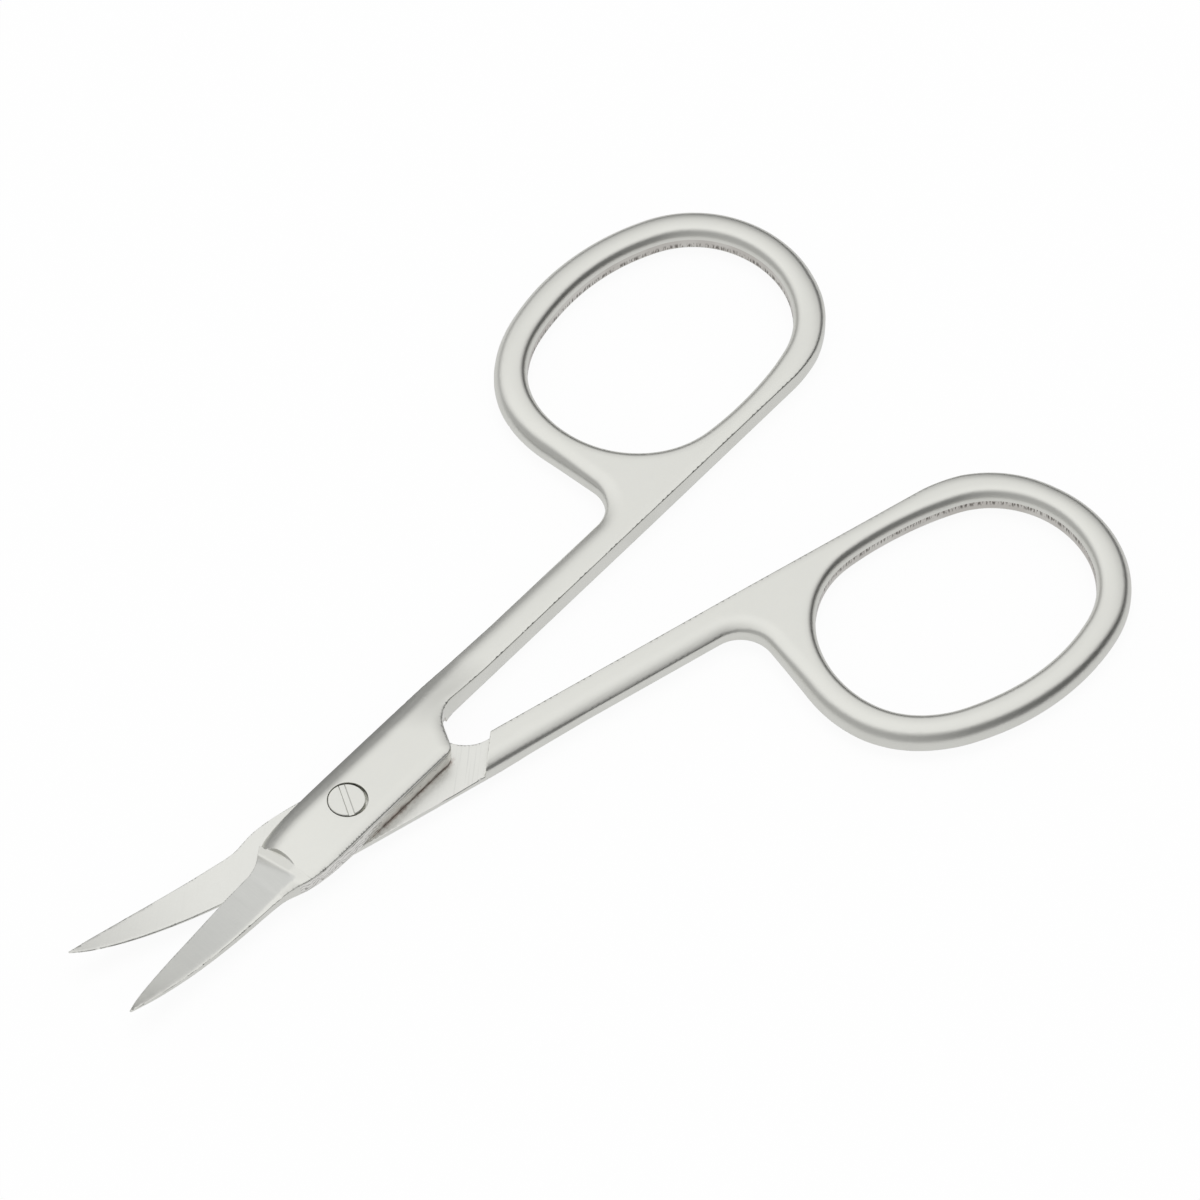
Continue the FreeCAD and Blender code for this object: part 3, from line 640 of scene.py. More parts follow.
    def block_fall(self, x: np.ndarray, y: np.ndarray) -> np.ndarray:
        """Depth of the wide bevel along the outer side of the block, at its front half."""
        knots = np.array(self.edge_knots[:5])
        side = np.interp(x, knots[:, 0], knots[:, 1])
        return fall(np.maximum(y - side, 0.0), np.tile(self.block_outer.row(), (len(x), 1)))

    def outer_face(self, x: np.ndarray, y: np.ndarray, gap: np.ndarray, forms: np.ndarray,
                   hole_gap: np.ndarray, hole_forms: np.ndarray) -> np.ndarray:
        """Height of the outside face over the plan."""
        near = fall(gap, forms)
        depth = np.where((x > 0.0) & (y < 0.0), self.block_fall(x, y), near)
        block = self.block_level(x, y) - depth - fall(hole_gap, hole_forms)
        ground = self.ground_level(x, y) - near
        share = smooth_step(x - self.step_line(y), -0.12, 0.0)
        return block + (ground - block) * share + self.lift_of_curve(x)

    def lap_distance(self, places: np.ndarray) -> np.ndarray:
        """Signed distance to the lap step, positive on the block."""
        a = np.array((self.lap_start, -self.levels.handle_gap))
        b = np.array((self.lap_outer, self.levels.handle_outer))
        way = (b - a) / np.linalg.norm(b - a)
        normal = np.array((-way[1], way[0]))
        return (places - a) @ normal

    def beside_other(self, places: np.ndarray) -> np.ndarray:
        """Distance from the wall of the other half's block at rest, positive outside it."""
        turn = math.radians(self.opening)
        across = -places[:, 0] * math.sin(turn) - places[:, 1] * math.cos(turn)
        return across - self.levels.block_side

    def stain_and_contact_shade(self, places: np.ndarray) -> np.ndarray:
        """Share of the painted contact shade, with an oily stain, where the two halves touch, at each
        place.
        """
        if self.side is Side.UPPER:
            return smooth_step(places[:, 0], 0.3, -1.2)
        turn = math.radians(self.opening)
        along = places[:, 0] * math.cos(turn) - places[:, 1] * math.sin(turn)
        near = np.exp(-np.abs(self.beside_other(places)) / self.contact_reach)
        return near * smooth_step(along, -10.0, -8.6) * smooth_step(places[:, 0], 1.0, -1.0)

    def inner_face(self, places: np.ndarray, gap: np.ndarray, forms: np.ndarray,
                   hole_gap: np.ndarray, hole_forms: np.ndarray) -> np.ndarray:
        """Height of the face towards the other half."""
        x = places[:, 0]
        lv = self.levels
        beside = self.lap_distance(places)
        away = np.clip(-beside - self.lap_wall, 0.0, None)
        crisp = np.tile(self.crisp.row(), (len(x), 1))
        handle = -lv.handle_half + fall(away, crisp)
        forms = np.where(((beside > 0.0) & (x < 5.0))[:, None], crisp, forms)
        low = np.where(beside > 0.0, 0.0, handle)
        low = low + lv.blade_gap * smooth_step(x, 6.0, 10.0)
        return low + fall(gap, forms) + fall(hole_gap, hole_forms) + self.lift_of_curve(x)

    def plan_points(self, outline: Loop, hole: Loop, circles: list) -> np.ndarray:
        """Points inside the plan: rows along the edges, then an even filling.

        Args:
            outline: Outside of the plan.
            hole: The finger hole.
            circles: Rings of points about the pivot axis.

        Returns:
            Points, without those of the outline, the hole and the circles.
        """
        rows = [self._edge_rows(outline), self._edge_rows(hole)]
        rows.append(self._feature_rows())
        rows.append(self._filling(-14.6, 9.6, 0.2))
        rows.append(self._filling(9.6, 26.2, 0.26))
        rows.append(self._filling(-68.0, -14.6, 0.55))
        wanted = []
        taken = np.vstack((outline.points, hole.points, *circles))
        for order, row in enumerate(rows):
            gap, near = outline.nearest(row)
            hole_gap, _ = hole.nearest(row)
            clear = (gap > 0.008) & (hole_gap > 0.008)
            if order > 1:
                reach = 0.5 * (self.spacing if order > 2 else 0.1)
                clear &= (gap > reach * 0.4) & (hole_gap > reach * 0.4)
            clear &= outline.contains(row) & ~hole.contains(row)
            wanted.append(row[clear])
        return self._thinned(taken, wanted)

    def _edge_rows(self, loop: Loop) -> np.ndarray:
        """Rows of points that follow the edge of a loop at growing distances."""
        forms = np.maximum(loop.outer_forms, loop.inner_forms)
        kept = []
        turns = np.radians((0, 15, 30, 45, 60, 75, 90))
        for i, (reach, drop, radius) in enumerate(forms):
            gaps = [radius * (1 - math.cos(t)) for t in turns]
            shares = (0.1, 0.2, 0.32, 0.45, 0.6, 0.8, 1.0)
            gaps += [radius + (reach - radius) * s for s in shares if drop > 0.02]
            last = 0.0
            for gap in gaps:
                if gap - last >= 0.014 + 0.06 * last:
                    kept.append((*(loop.points[i] + loop.normals[i] * gap), gap))
                    last = gap
        kept = np.array(kept)
        true_gap, _ = loop.nearest(kept[:, :2])
        return kept[true_gap > kept[:, 2] * 0.93, :2]

    def _feature_rows(self) -> np.ndarray:
        """Rows of points along the lap step and the runout step."""
        lv = self.levels
        a = np.array((self.lap_start, -lv.handle_gap))
        b = np.array((self.lap_outer, lv.handle_outer))
        way = (b - a) / np.linalg.norm(b - a)
        normal = np.array((-way[1], way[0]))
        along = np.arange(0.1, np.linalg.norm(b - a), 0.15)
        offsets = (-0.12, -0.062, -0.03, -self.lap_wall - 1e-4, self.lap_wall + 1e-4, 0.1)
        rows = [a + way * s + normal * o for s in along for o in offsets]
        across = np.arange(-2.72, 2.7, 0.08)
        for offset in (-0.16, -0.12, -0.09, -0.06, -0.03, 0.0, 0.04, 0.1):
            rows += list(np.column_stack((self.step_line(across) + offset, across)))
        border = self.facet_start + self.facet_slant * (across + 2.4)
        for offset in (-0.32, -0.24, -0.16, -0.08, 0.0, 0.1, 0.2):
            rows += list(np.column_stack((border + offset, across)))
        return np.array(rows)

    def _filling(self, low: float, high: float, step: float) -> np.ndarray:
        """A staggered grid of points over a stretch of the plan."""
        across = np.arange(-23.0, 3.2, step * math.sqrt(3) / 2)
        along = np.arange(low, high, step)
        x, y = np.meshgrid(along, across)
        x = x + (np.arange(len(across)) % 2)[:, None] * step / 2
        return np.column_stack((x.ravel(), y.ravel()))

    def _thinned(self, taken: np.ndarray, rows: list) -> np.ndarray:
        """Keeps, row by row, the points that aren't too near one kept before."""
        cell = 0.02
        used = {tuple(k) for k in np.round(taken / cell).astype(int)}
        coarse = {tuple(k) for k in np.round(taken / 0.1).astype(int)}
        kept = []
        for order, row in enumerate(rows):
            for point in row:
                fine = tuple(np.round(point / cell).astype(int))
                wide = tuple(np.round(point / 0.1).astype(int))
                if fine in used or (order > 2 and wide in coarse):
                    continue
                used.add(fine)
                coarse.add(wide)
                kept.append(point)
        return np.array(kept)

    def circle(self, radius: float, count: int) -> np.ndarray:
        """Points on a circle about the pivot axis."""
        angles = math.tau * np.arange(count) / count
        return radius * np.column_stack((np.cos(angles), np.sin(angles)))

    def mesh(self) -> bpy.types.Mesh:
        """Builds the half as one closed mesh, in metres, where it lies at rest."""
        outline = self.outline()
        hole = self.ring.hole(self.hole_spacing, *self.by_face(self.hole_edge, self.hole_edge_below))
        radii = (self.recess, self.bore) if self.side is Side.UPPER else (self.thread_bore,)
        circles = [self.circle(r, 96) for r in radii]
        rims = [self.circle(radii[0] + 0.03, 96), self.circle(radii[0] + 0.07, 96)]
        inside = self.plan_points(outline, hole, [*circles, *rims])
        beyond = np.linalg.norm(inside, axis=1) > radii[0] + 0.12
        within = np.linalg.norm(inside, axis=1) < radii[0] - 0.12
        inside = inside[beyond | within]
        places = np.vstack((outline.points, hole.points, *circles, *rims, inside))
        triangles = self._triangles(places, outline, hole, circles)
        return self._solid(places, triangles, outline, hole, circles, radii)

    def _triangles(self, places: np.ndarray, outline: Loop, hole: Loop,
                   circles: list) -> np.ndarray:
        """Triangles of the plan between the outline and the finger hole."""
        edges = []
        start = 0
        for count in (len(outline.points), len(hole.points), *(len(c) for c in circles)):
            edges += [(start + i, start + (i + 1) % count) for i in range(count)]
            start += count
        found = geometry.delaunay_2d_cdt([Vector(p) for p in places], edges, [], 0, 1e-7)
        verts, _, faces, origin = found[0], found[1], found[2], found[3]
        if len(verts) != len(places):
            log.warning("the plan has %d points after meshing, not %d", len(verts), len(places))
        name = np.array([o[0] if o else -1 for o in origin])
        triangles = name[np.array(faces)]
        triangles = triangles[(triangles >= 0).all(1)]
        centre = places[triangles].mean(1)
        keep = outline.contains(centre) & ~hole.contains(centre)
        triangles = triangles[keep]
        a, b, c = (places[triangles[:, i]] for i in range(3))
        area = (b[:, 0] - a[:, 0]) * (c[:, 1] - a[:, 1]) - (b[:, 1] - a[:, 1]) * (c[:, 0] - a[:, 0])
        triangles[area < 0] = triangles[area < 0][:, ::-1]
        return triangles[np.abs(area) > 1e-9]

    def _solid(self, places: np.ndarray, triangles: np.ndarray, outline: Loop, hole: Loop,
               circles: list, radii: tuple) -> bpy.types.Mesh:
        """Lifts the plan to both faces and closes it with walls.

        Args:
            places: Points of the plan; the loops come first.
            triangles: Triangles of the plan, counter-clockwise.
            outline: Outside of the plan.
            hole: The finger hole.
            circles: Rings of the bore, widest first.
            radii: Their radii.

        Returns:
            The mesh.
        """
        gap, near = outline.nearest(places)
        hole_gap, hole_near = hole.nearest(places)
        on_outline = len(outline.points)
        on_hole = len(hole.points)
        gap[:on_outline] = 0.0
        near[:on_outline] = np.arange(on_outline)
        hole_gap[on_outline:on_outline + on_hole] = 0.0
        top = self.outer_face(places[:, 0], places[:, 1], gap, outline.outer_forms[near],
                              hole_gap, hole.outer_forms[hole_near])
        low = self.inner_face(places, gap, outline.inner_forms[near], hole_gap,
                              hole.inner_forms[hole_near])
        radius = np.linalg.norm(places, axis=1)
        rim = np.tile(np.array((1.0, 0.0, 0.05)), (len(places), 1))
        top = np.where(radius < 3.0, top - fall(np.abs(radius - radii[0]), rim), top)
        low = np.minimum(low, top - 0.02)
        builder = MeshParts()
        spread = radius[triangles].max(1)
        outside = spread > radii[0] + 1e-6
        through = spread > radii[-1] + 1e-6
        upper = builder.points(places, top, 1.0)
        lower = builder.points(places, low, 0.0)
        finish = self._finishes(places[triangles].mean(1))
        builder.faces(upper[triangles[outside]], finish[0][outside])
        builder.faces(lower[triangles[through]][:, ::-1], finish[1][through])
        start = 0
        first, last = self.dressed_part
        spine = (places[:, 0] > first) & (places[:, 0] < last)
        spine &= places[:, 1] > self.spine_middle * (places[:, 0] > 0)
        kinds = np.where(spine, Finish.DRESSED.value, Finish.SATIN.value)
        kinds[on_outline:] = Finish.FILED.value
        for count in (on_outline, on_hole):
            ring = np.arange(start, start + count)
            builder.wall(upper[ring], lower[ring], self.wall_rows, kinds[ring])
            start += count
        self._bore(builder, places, upper, lower, start, radii)
        mesh = builder.build(f"{self.side.name.lower()}_forging")
        self._attributes(mesh, outline, hole)
        self._place(mesh)
        return mesh

    def _finishes(self, centres: np.ndarray) -> tuple:
        """Finish of each triangle on the outer and on the inner face."""
        x, y = centres[:, 0], centres[:, 1]
        outer = np.where(x > 6.2, Finish.GROUND.value, Finish.SATIN.value)
        inner = np.where(self.lap_distance(centres) > 0, Finish.LAPPED.value, Finish.SATIN.value)
        return outer, inner

    def _bore(self, builder: "MeshParts", places: np.ndarray, upper: np.ndarray,
              lower: np.ndarray, start: int, radii: tuple) -> None:
        """Adds the walls of the bore, and the seat of the screw head in the upper half."""
        first = np.arange(start, start + 96)
        if self.side is Side.LOWER:
            builder.wall(upper[first][::-1], lower[first][::-1], 2)
            return
        second = first + 96
        floor_wide = builder.points(places[first], np.full(96, self.recess_floor), 0.0)
        floor_narrow = builder.points(places[second], np.full(96, self.recess_floor), 0.0)
        builder.wall(upper[first][::-1], floor_wide[::-1], 2)
        builder.wall(floor_wide[::-1], floor_narrow[::-1], 1)
        builder.wall(floor_narrow[::-1], lower[second][::-1], 2)

    def _attributes(self, mesh: bpy.types.Mesh, outline: Loop, hole: Loop) -> None:
        """Stores where each point lies, for the finishes.

        Args:
            mesh: Mesh in the half's own plan, in millimetres.
            outline: Outside of the plan.
            hole: The finger hole.
        """
        co = np.empty(len(mesh.vertices) * 3)
        mesh.vertices.foreach_get("co", co)
        places = co.reshape(-1, 3)[:, :2]
        gap, near = outline.nearest(places)
        hole_gap, hole_near = hole.nearest(places)
        along = np.where(hole_gap < gap, hole.along[hole_near], outline.along[near])
        x, y = places[:, 0], places[:, 1]
        border = self.facet_start + self.facet_slant * (y + 2.4)
        land = self.spine_line(x) - np.interp(x, *np.array(self.land_width).T)
        inside = smooth_step(lower_of(x - border, land - y, self.facet_corner), -0.08, 0.08)
        # The facet's tint fades out towards the tip: painted light against the shade of the upward curve.
        facet = inside * (1 - smooth_step(x, *self.tip_painted_light))
        values = {
            "rim": np.exp(-np.minimum(gap, hole_gap) / 0.12),
            "along": along * MM,
            "lap": self.lap_distance(places) * MM,
            "facet": facet,
            # Painted contact shade, with an oily stain, where the two halves touch.
            "stain_and_contact_shade": self.stain_and_contact_shade(places),
        }
        for name, data in values.items():
            add_point_values(mesh, name, data)

    def _place(self, mesh: bpy.types.Mesh) -> None:
        """Turns the half over if it is the lower one, opens it, lifts it and scales it."""
        co = np.empty(len(mesh.vertices) * 3)
        mesh.vertices.foreach_get("co", co)
        co = co.reshape(-1, 3)
        if self.side is Side.LOWER:
            co[:, 1:] *= -1.0
        angle = math.radians(self.side.value * self.opening / 2)
        cos, sin = math.cos(angle), math.sin(angle)
        x, y = co[:, 0].copy(), co[:, 1].copy()
        co[:, 0] = x * cos - y * sin
        co[:, 1] = x * sin + y * cos
        co[:, 2] += self.levels.block
        mesh.vertices.foreach_set("co", (co * MM).ravel())
        mesh.update()


def add_point_values(mesh: bpy.types.Mesh, name: str, data: np.ndarray) -> None:
    """Stores a number for each point of a mesh."""
    attribute = mesh.attributes.new(name, "FLOAT", "POINT")
    attribute.data.foreach_set("value", data.astype(np.float32))


class MeshParts:
    """Collects points and faces for one mesh."""

    def __init__(self) -> None:
        """Starts empty."""
        self.rows: list = []
        self.rises: list = []
        self.triangles: list = []
        self.quads: list = []
        self.count = 0

    def points(self, places: np.ndarray, heights: np.ndarray, rise: float) -> np.ndarray:
        """Adds points, with their share of the way up the wall, and returns their indices."""
        self.rows.append(np.column_stack((places, heights)))
        self.rises.append(np.full(len(places), rise))
        first = self.count
        self.count += len(places)
        return np.arange(first, self.count)

    def faces(self, triangles: np.ndarray, finish: np.ndarray) -> None:
        """Adds triangles with a finish for each."""
        self.triangles.append((triangles, finish))

    def wall(self, top: np.ndarray, low: np.ndarray, rows: int, kinds: object = 0) -> None:
        """Adds a closed band of quads between two rings of points.

        Args:
            top: Upper ring, with the metal on its left.
            low: Lower ring, with as many points.
            rows: Number of quads from top to bottom.
            kinds: Finish of the band, one for all or one for each point of the ring.
        """
        every = np.vstack(self.rows)
        above = top
        for i in range(1, rows + 1):
            if i == rows:
                below = low
            else:
                spots = every[top] + (every[low] - every[top]) * i / rows
                below = self.points(spots[:, :2], spots[:, 2], 1.0 - i / rows)
            quads = np.column_stack((above, below, np.roll(below, -1), np.roll(above, -1)))
            self.quads.append((quads, np.full(len(quads), kinds)))
            above = below

    def build(self, name: str) -> bpy.types.Mesh:
        """Makes the mesh, without the points that no face uses."""
        co = np.vstack(self.rows)
        faces = [tuple(f) for part, _ in self.triangles + self.quads for f in part]
        finish = np.concatenate([kinds for _, kinds in self.triangles + self.quads])
        used = np.unique(np.concatenate([p.ravel() for p, _ in self.triangles + self.quads]))
        new = np.full(len(co), -1)
        new[used] = np.arange(len(used))
        mesh = bpy.data.meshes.new(name)
        mesh.from_pydata([tuple(c) for c in co[used]], [], [tuple(new[list(f)]) for f in faces])
        mesh.polygons.foreach_set("material_index", finish.astype(np.int32))
        mesh.polygons.foreach_set("use_smooth", np.ones(len(faces), bool))
        mesh.validate()
        add_point_values(mesh, "rise", np.concatenate(self.rises)[used])
        mesh.update()
        return mesh


class Effect:
    """A shader node group, with named inputs and outputs, that several finishes share."""

    def __init__(self, name: str, inputs: dict, outputs: tuple) -> None:
        """Makes the empty group.

        Args:
            name: Name of the group.
            inputs: Default value of each input; a tuple makes a vector socket.
            outputs: Names of the outputs, all numbers.
        """
        self.tree = bpy.data.node_groups.new(name, "ShaderNodeTree")
        for label, value in inputs.items():
            kind = "NodeSocketVector" if isinstance(value, tuple) else "NodeSocketFloat"
            socket = self.tree.interface.new_socket(name=label, in_out="INPUT", socket_type=kind)
            socket.default_value = value
        for label in outputs:
            self.tree.interface.new_socket(name=label, in_out="OUTPUT", socket_type="NodeSocketFloat")
        self.given = self.tree.nodes.new("NodeGroupInput").outputs
        self.result = self.tree.nodes.new("NodeGroupOutput").inputs

    def placed(self, tree: bpy.types.NodeTree, **values: object) -> bpy.types.NodeOutputs:
        """Places the group in a material.

        Args:
            tree: Node tree of the material.
            values: Sockets or numbers for the inputs, with _ for a space.

        Returns:
            The outputs of the group.
        """
        node = tree.nodes.new("ShaderNodeGroup")
        node.node_tree = self.tree
        for label, value in values.items():
            socket = node.inputs[label.replace("_", " ")]
            if isinstance(value, bpy.types.NodeSocket):
                tree.links.new(value, socket)
            else:
                socket.default_value = value
        return node.outputs


def grain_effect() -> Effect:
    """Fine grain stretched along a direction, from -0.5 to 0.5."""
    made = Effect("steel_grain", {"Place": (0.0, 0.0, 0.0), "Density": (1.0, 1.0, 1.0), "Detail": 3.0},
                  ("Value",))
    fine = add_vector(made.tree, "MULTIPLY", made.given["Place"], made.given["Density"])
    noise = add_noise(made.tree, fine)
    made.tree.links.new(made.given["Detail"], noise.inputs["Detail"])
    made.tree.links.new(add_math(made.tree, "SUBTRACT", noise.outputs["Fac"], 0.5), made.result["Value"])
    return made


def wear_effect() -> Effect:
    """Uneven bright line where an edge has been rubbed."""
    made = Effect("edge_wear", {"Rim": 0.0, "Place": (0.0, 0.0, 0.0), "Patches": 300.0}, ("Mask",))
    noise = add_noise(made.tree, made.given["Place"])
    made.tree.links.new(made.given["Patches"], noise.inputs["Scale"])
    patch = add_spread(made.tree, noise.outputs["Fac"], 0.38, 0.62)
    edge = add_math(made.tree, "POWER", made.given["Rim"], 2.0)
    made.tree.links.new(add_math(made.tree, "MULTIPLY", edge, patch), made.result["Mask"])
    return made


def file_effect() -> Effect:
    """Strokes of a file across a wall, thickest near its lower edge, and the unevenness of the wall."""
    made = Effect("file_marks", {"Along": 0.0, "Rise": 0.0, "Density": 4000.0, "Length": 1.2,
                                 "Top": 0.7, "Bottom": 0.2}, ("Strokes", "Unevenness"))
    across = add_math(made.tree, "MULTIPLY", made.given["Along"], made.given["Density"])
    down = add_math(made.tree, "MULTIPLY", made.given["Rise"], made.given["Length"])
    place = made.tree.nodes.new("ShaderNodeCombineXYZ")
    made.tree.links.new(across, place.inputs["X"])
    made.tree.links.new(down, place.inputs["Y"])
    noise = add_noise(made.tree, place.outputs[0])
    stroke = add_spread(made.tree, noise.outputs["Fac"], 0.45, 0.62)
    low = add_spread(made.tree, made.given["Rise"], made.given["Top"], made.given["Bottom"])
    made.tree.links.new(add_math(made.tree, "MULTIPLY", stroke, low), made.result["Strokes"])
    made.tree.links.new(add_math(made.tree, "SUBTRACT", noise.outputs["Fac"], 0.5),
                        made.result["Unevenness"])
    return made


class Effects:
    """The shared effects, each built when it is first needed."""

    made: dict = {}
    makers: dict = {"grain": grain_effect, "wear": wear_effect, "file": file_effect}

    @classmethod
    def get(cls, name: str) -> Effect:
        """Returns an effect by name."""
        if name not in cls.made:
            cls.made[name] = cls.makers[name]()
        return cls.made[name]


@dataclass(frozen=True)
class Steel:
    """Stainless steel with a fine grain, as all the finishes have it."""

    name: str = "steel"
    colour: tuple = (0.82, 0.82, 0.775)
    worn: tuple = (0.9, 0.9, 0.86)
    rough: float = 0.34
    rough_spread: float = 0.08
    density: tuple = (1100.0, 6500.0, 6500.0)
    depth: float = 0.000003
    mottle: float = 0.05
    wear: float = 0.35

    def material(self) -> bpy.types.Material:
        """Builds the material."""
        made = bpy.data.materials.new(self.name)
        made.use_nodes = True
        tree = made.node_tree
        shader = tree.nodes["Principled BSDF"]
        shader.inputs["Metallic"].default_value = 1.0
        place = tree.nodes.new("ShaderNodeTexCoord").outputs["Object"]
        grain = Effects.get("grain").placed(tree, Place=place, Density=self.density)["Value"]
        cloud = Effects.get("grain").placed(tree, Place=place, Density=(420.0, 700.0, 700.0))["Value"]
        rim = add_attribute(tree, "rim")
        wear = Effects.get("wear").placed(tree, Rim=rim, Place=place)["Mask"]
        shade = add_math(tree, "MULTIPLY_ADD", cloud, self.mottle * 4, 0.5)
        shade = add_math(tree, "MULTIPLY_ADD", grain, self.mottle * 4, shade)
        low = tuple(c * (1 - self.mottle) for c in self.colour)
        high = tuple(c * (1 + self.mottle) for c in self.colour)
        colour = add_tint(tree, low, high, shade)
        colour = add_tint(tree, colour, self.worn, add_math(tree, "MULTIPLY", wear, self.wear))
        height = grain
        colour, height = self.dress(tree, place, colour, height)
        tree.links.new(colour, shader.inputs["Base Color"])
        rough = add_math(tree, "MULTIPLY_ADD", grain, self.rough_spread, self.rough)
        tree.links.new(rough, shader.inputs["Roughness"])
        bump = tree.nodes.new("ShaderNodeBump")
        bump.inputs["Distance"].default_value = self.depth
        tree.links.new(height, bump.inputs["Height"])
        tree.links.new(bump.outputs["Normal"], shader.inputs["Normal"])
        return made

    def dress(self, tree: bpy.types.NodeTree, place: bpy.types.NodeSocket,
              colour: bpy.types.NodeSocket, height: bpy.types.NodeSocket) -> tuple:
        """Adds what only this finish has.

        Args:
            tree: Node tree of the material.
            place: Position on the piece, in metres.
            colour: Colour so far.
            height: Height of the grain so far.

        Returns:
            The colour and the height.
        """
        return colour, height


@dataclass(frozen=True)
class SatinSteel(Steel):
    """The brushed satin of the faces and of the outer walls."""

    name: str = "satin_steel"


@dataclass(frozen=True)
class FiledSteel(Steel):
    """The wall of the finger hole, with dark file strokes low down. Its dull, warm colour is partly
    painted shade: it stands in for the dim brownish light reflected inside the hole.
    """

    name: str = "filed_steel_painted_shade"
    # Darker and warmer than the faces' steel: partly painted shade of the light reflected inside the hole.
    colour: tuple = (0.66, 0.635, 0.60)
    stroke: tuple = (0.13, 0.115, 0.1)
    rough: float = 0.4
    stroke_density: float = 6500.0
    stroke_share: float = 0.92
    stroke_depth: float = 1.6

    def dress(self, tree: bpy.types.NodeTree, place: bpy.types.NodeSocket,
              colour: bpy.types.NodeSocket, height: bpy.types.NodeSocket) -> tuple:
        """Adds the file strokes."""
        marks = Effects.get("file").placed(tree, Along=add_attribute(tree, "along"),
                                           Rise=add_attribute(tree, "rise"),
                                           Density=self.stroke_density)
        share = add_math(tree, "MULTIPLY", marks["Strokes"], self.stroke_share)
        colour = add_tint(tree, colour, self.stroke, share)
        height = add_math(tree, "MULTIPLY_ADD", marks["Unevenness"], self.stroke_depth, height)
        return colour, height


@dataclass(frozen=True)
class LappedSteel(Steel):
    """The flat face that slides on the other half, scratched along the lap step, and stained and darkened
    with painted contact shade beside the other half's block.
    """

    name: str = "lapped_steel"
    colour: tuple = (0.84, 0.84, 0.80)
    # Brown of the oily stain and of the painted contact shade beside the other half.
    stain_and_shade: tuple = (0.50, 0.43, 0.39)
    scratch: tuple = (0.68, 0.68, 0.65)
    scratch_density: tuple = (5200.0, 160.0, 1.0)
    scratch_share: float = 0.5

    def dress(self, tree: bpy.types.NodeTree, place: bpy.types.NodeSocket,
              colour: bpy.types.NodeSocket, height: bpy.types.NodeSocket) -> tuple:
        """Adds the scratches, and the stain with painted contact shade beside the other half."""
        lap = add_attribute(tree, "lap")
        spot = tree.nodes.new("ShaderNodeCombineXYZ")
        tree.links.new(lap, spot.inputs["X"])
        split = tree.nodes.new("ShaderNodeSeparateXYZ")
        tree.links.new(place, split.inputs[0])
        tree.links.new(split.outputs["Y"], spot.inputs["Y"])
        lines = Effects.get("grain").placed(tree, Place=spot.outputs[0],
                                            Density=self.scratch_density)["Value"]
        mask = add_spread(tree, lines, 0.02, 0.18)
        near_lap = add_spread(tree, lap, 0.0045, 0.002)
        mask = add_math(tree, "MULTIPLY", mask, add_math(tree, "MULTIPLY_ADD", near_lap, 0.85, 0.15))
        colour = add_tint(tree, colour, self.scratch, add_math(tree, "MULTIPLY", mask, self.scratch_share))
        # A mottled stain, with painted contact shade along the other half's block.
        blotch = Effects.get("grain").placed(tree, Place=place, Density=(2600.0, 2600.0, 2600.0))["Value"]
        stain_and_contact_shade = add_attribute(tree, "stain_and_contact_shade")
        stain_and_shade = add_math(tree, "MULTIPLY_ADD", blotch, 1.6, stain_and_contact_shade)
        stain_and_shade = add_math(tree, "MULTIPLY", add_spread(tree, stain_and_shade, 0.12, 1.05),
                         add_spread(tree, stain_and_contact_shade, 0.0, 0.25))
        colour = add_tint(tree, colour, self.stain_and_shade, stain_and_shade)
        height = add_math(tree, "MULTIPLY_ADD", lines, 1.2, height)
        return colour, height


@dataclass(frozen=True)
class GroundSteel(Steel):
    """The outside of the blade: satin at the root, then a duller facet ground across, whose tint fades out
    towards the tip as painted light.
    """

    name: str = "ground_steel"
    facet: tuple = (0.67, 0.675, 0.65)
    grind_density: tuple = (7000.0, 500.0, 500.0)
    facet_share: float = 0.9

    def dress(self, tree: bpy.types.NodeTree, place: bpy.types.NodeSocket,
              colour: bpy.types.NodeSocket, height: bpy.types.NodeSocket) -> tuple:
        """Adds the facet."""
        lines = Effects.get("grain").placed(tree, Place=place, Density=self.grind_density)["Value"]
        facet = add_attribute(tree, "facet")
        share = add_math(tree, "MULTIPLY_ADD", lines, 0.35, self.facet_share)
        colour = add_tint(tree, colour, self.facet, add_math(tree, "MULTIPLY", facet, share))
        height = add_math(tree, "MULTIPLY_ADD", add_math(tree, "MULTIPLY", lines, facet), 1.0, height)
        return colour, height


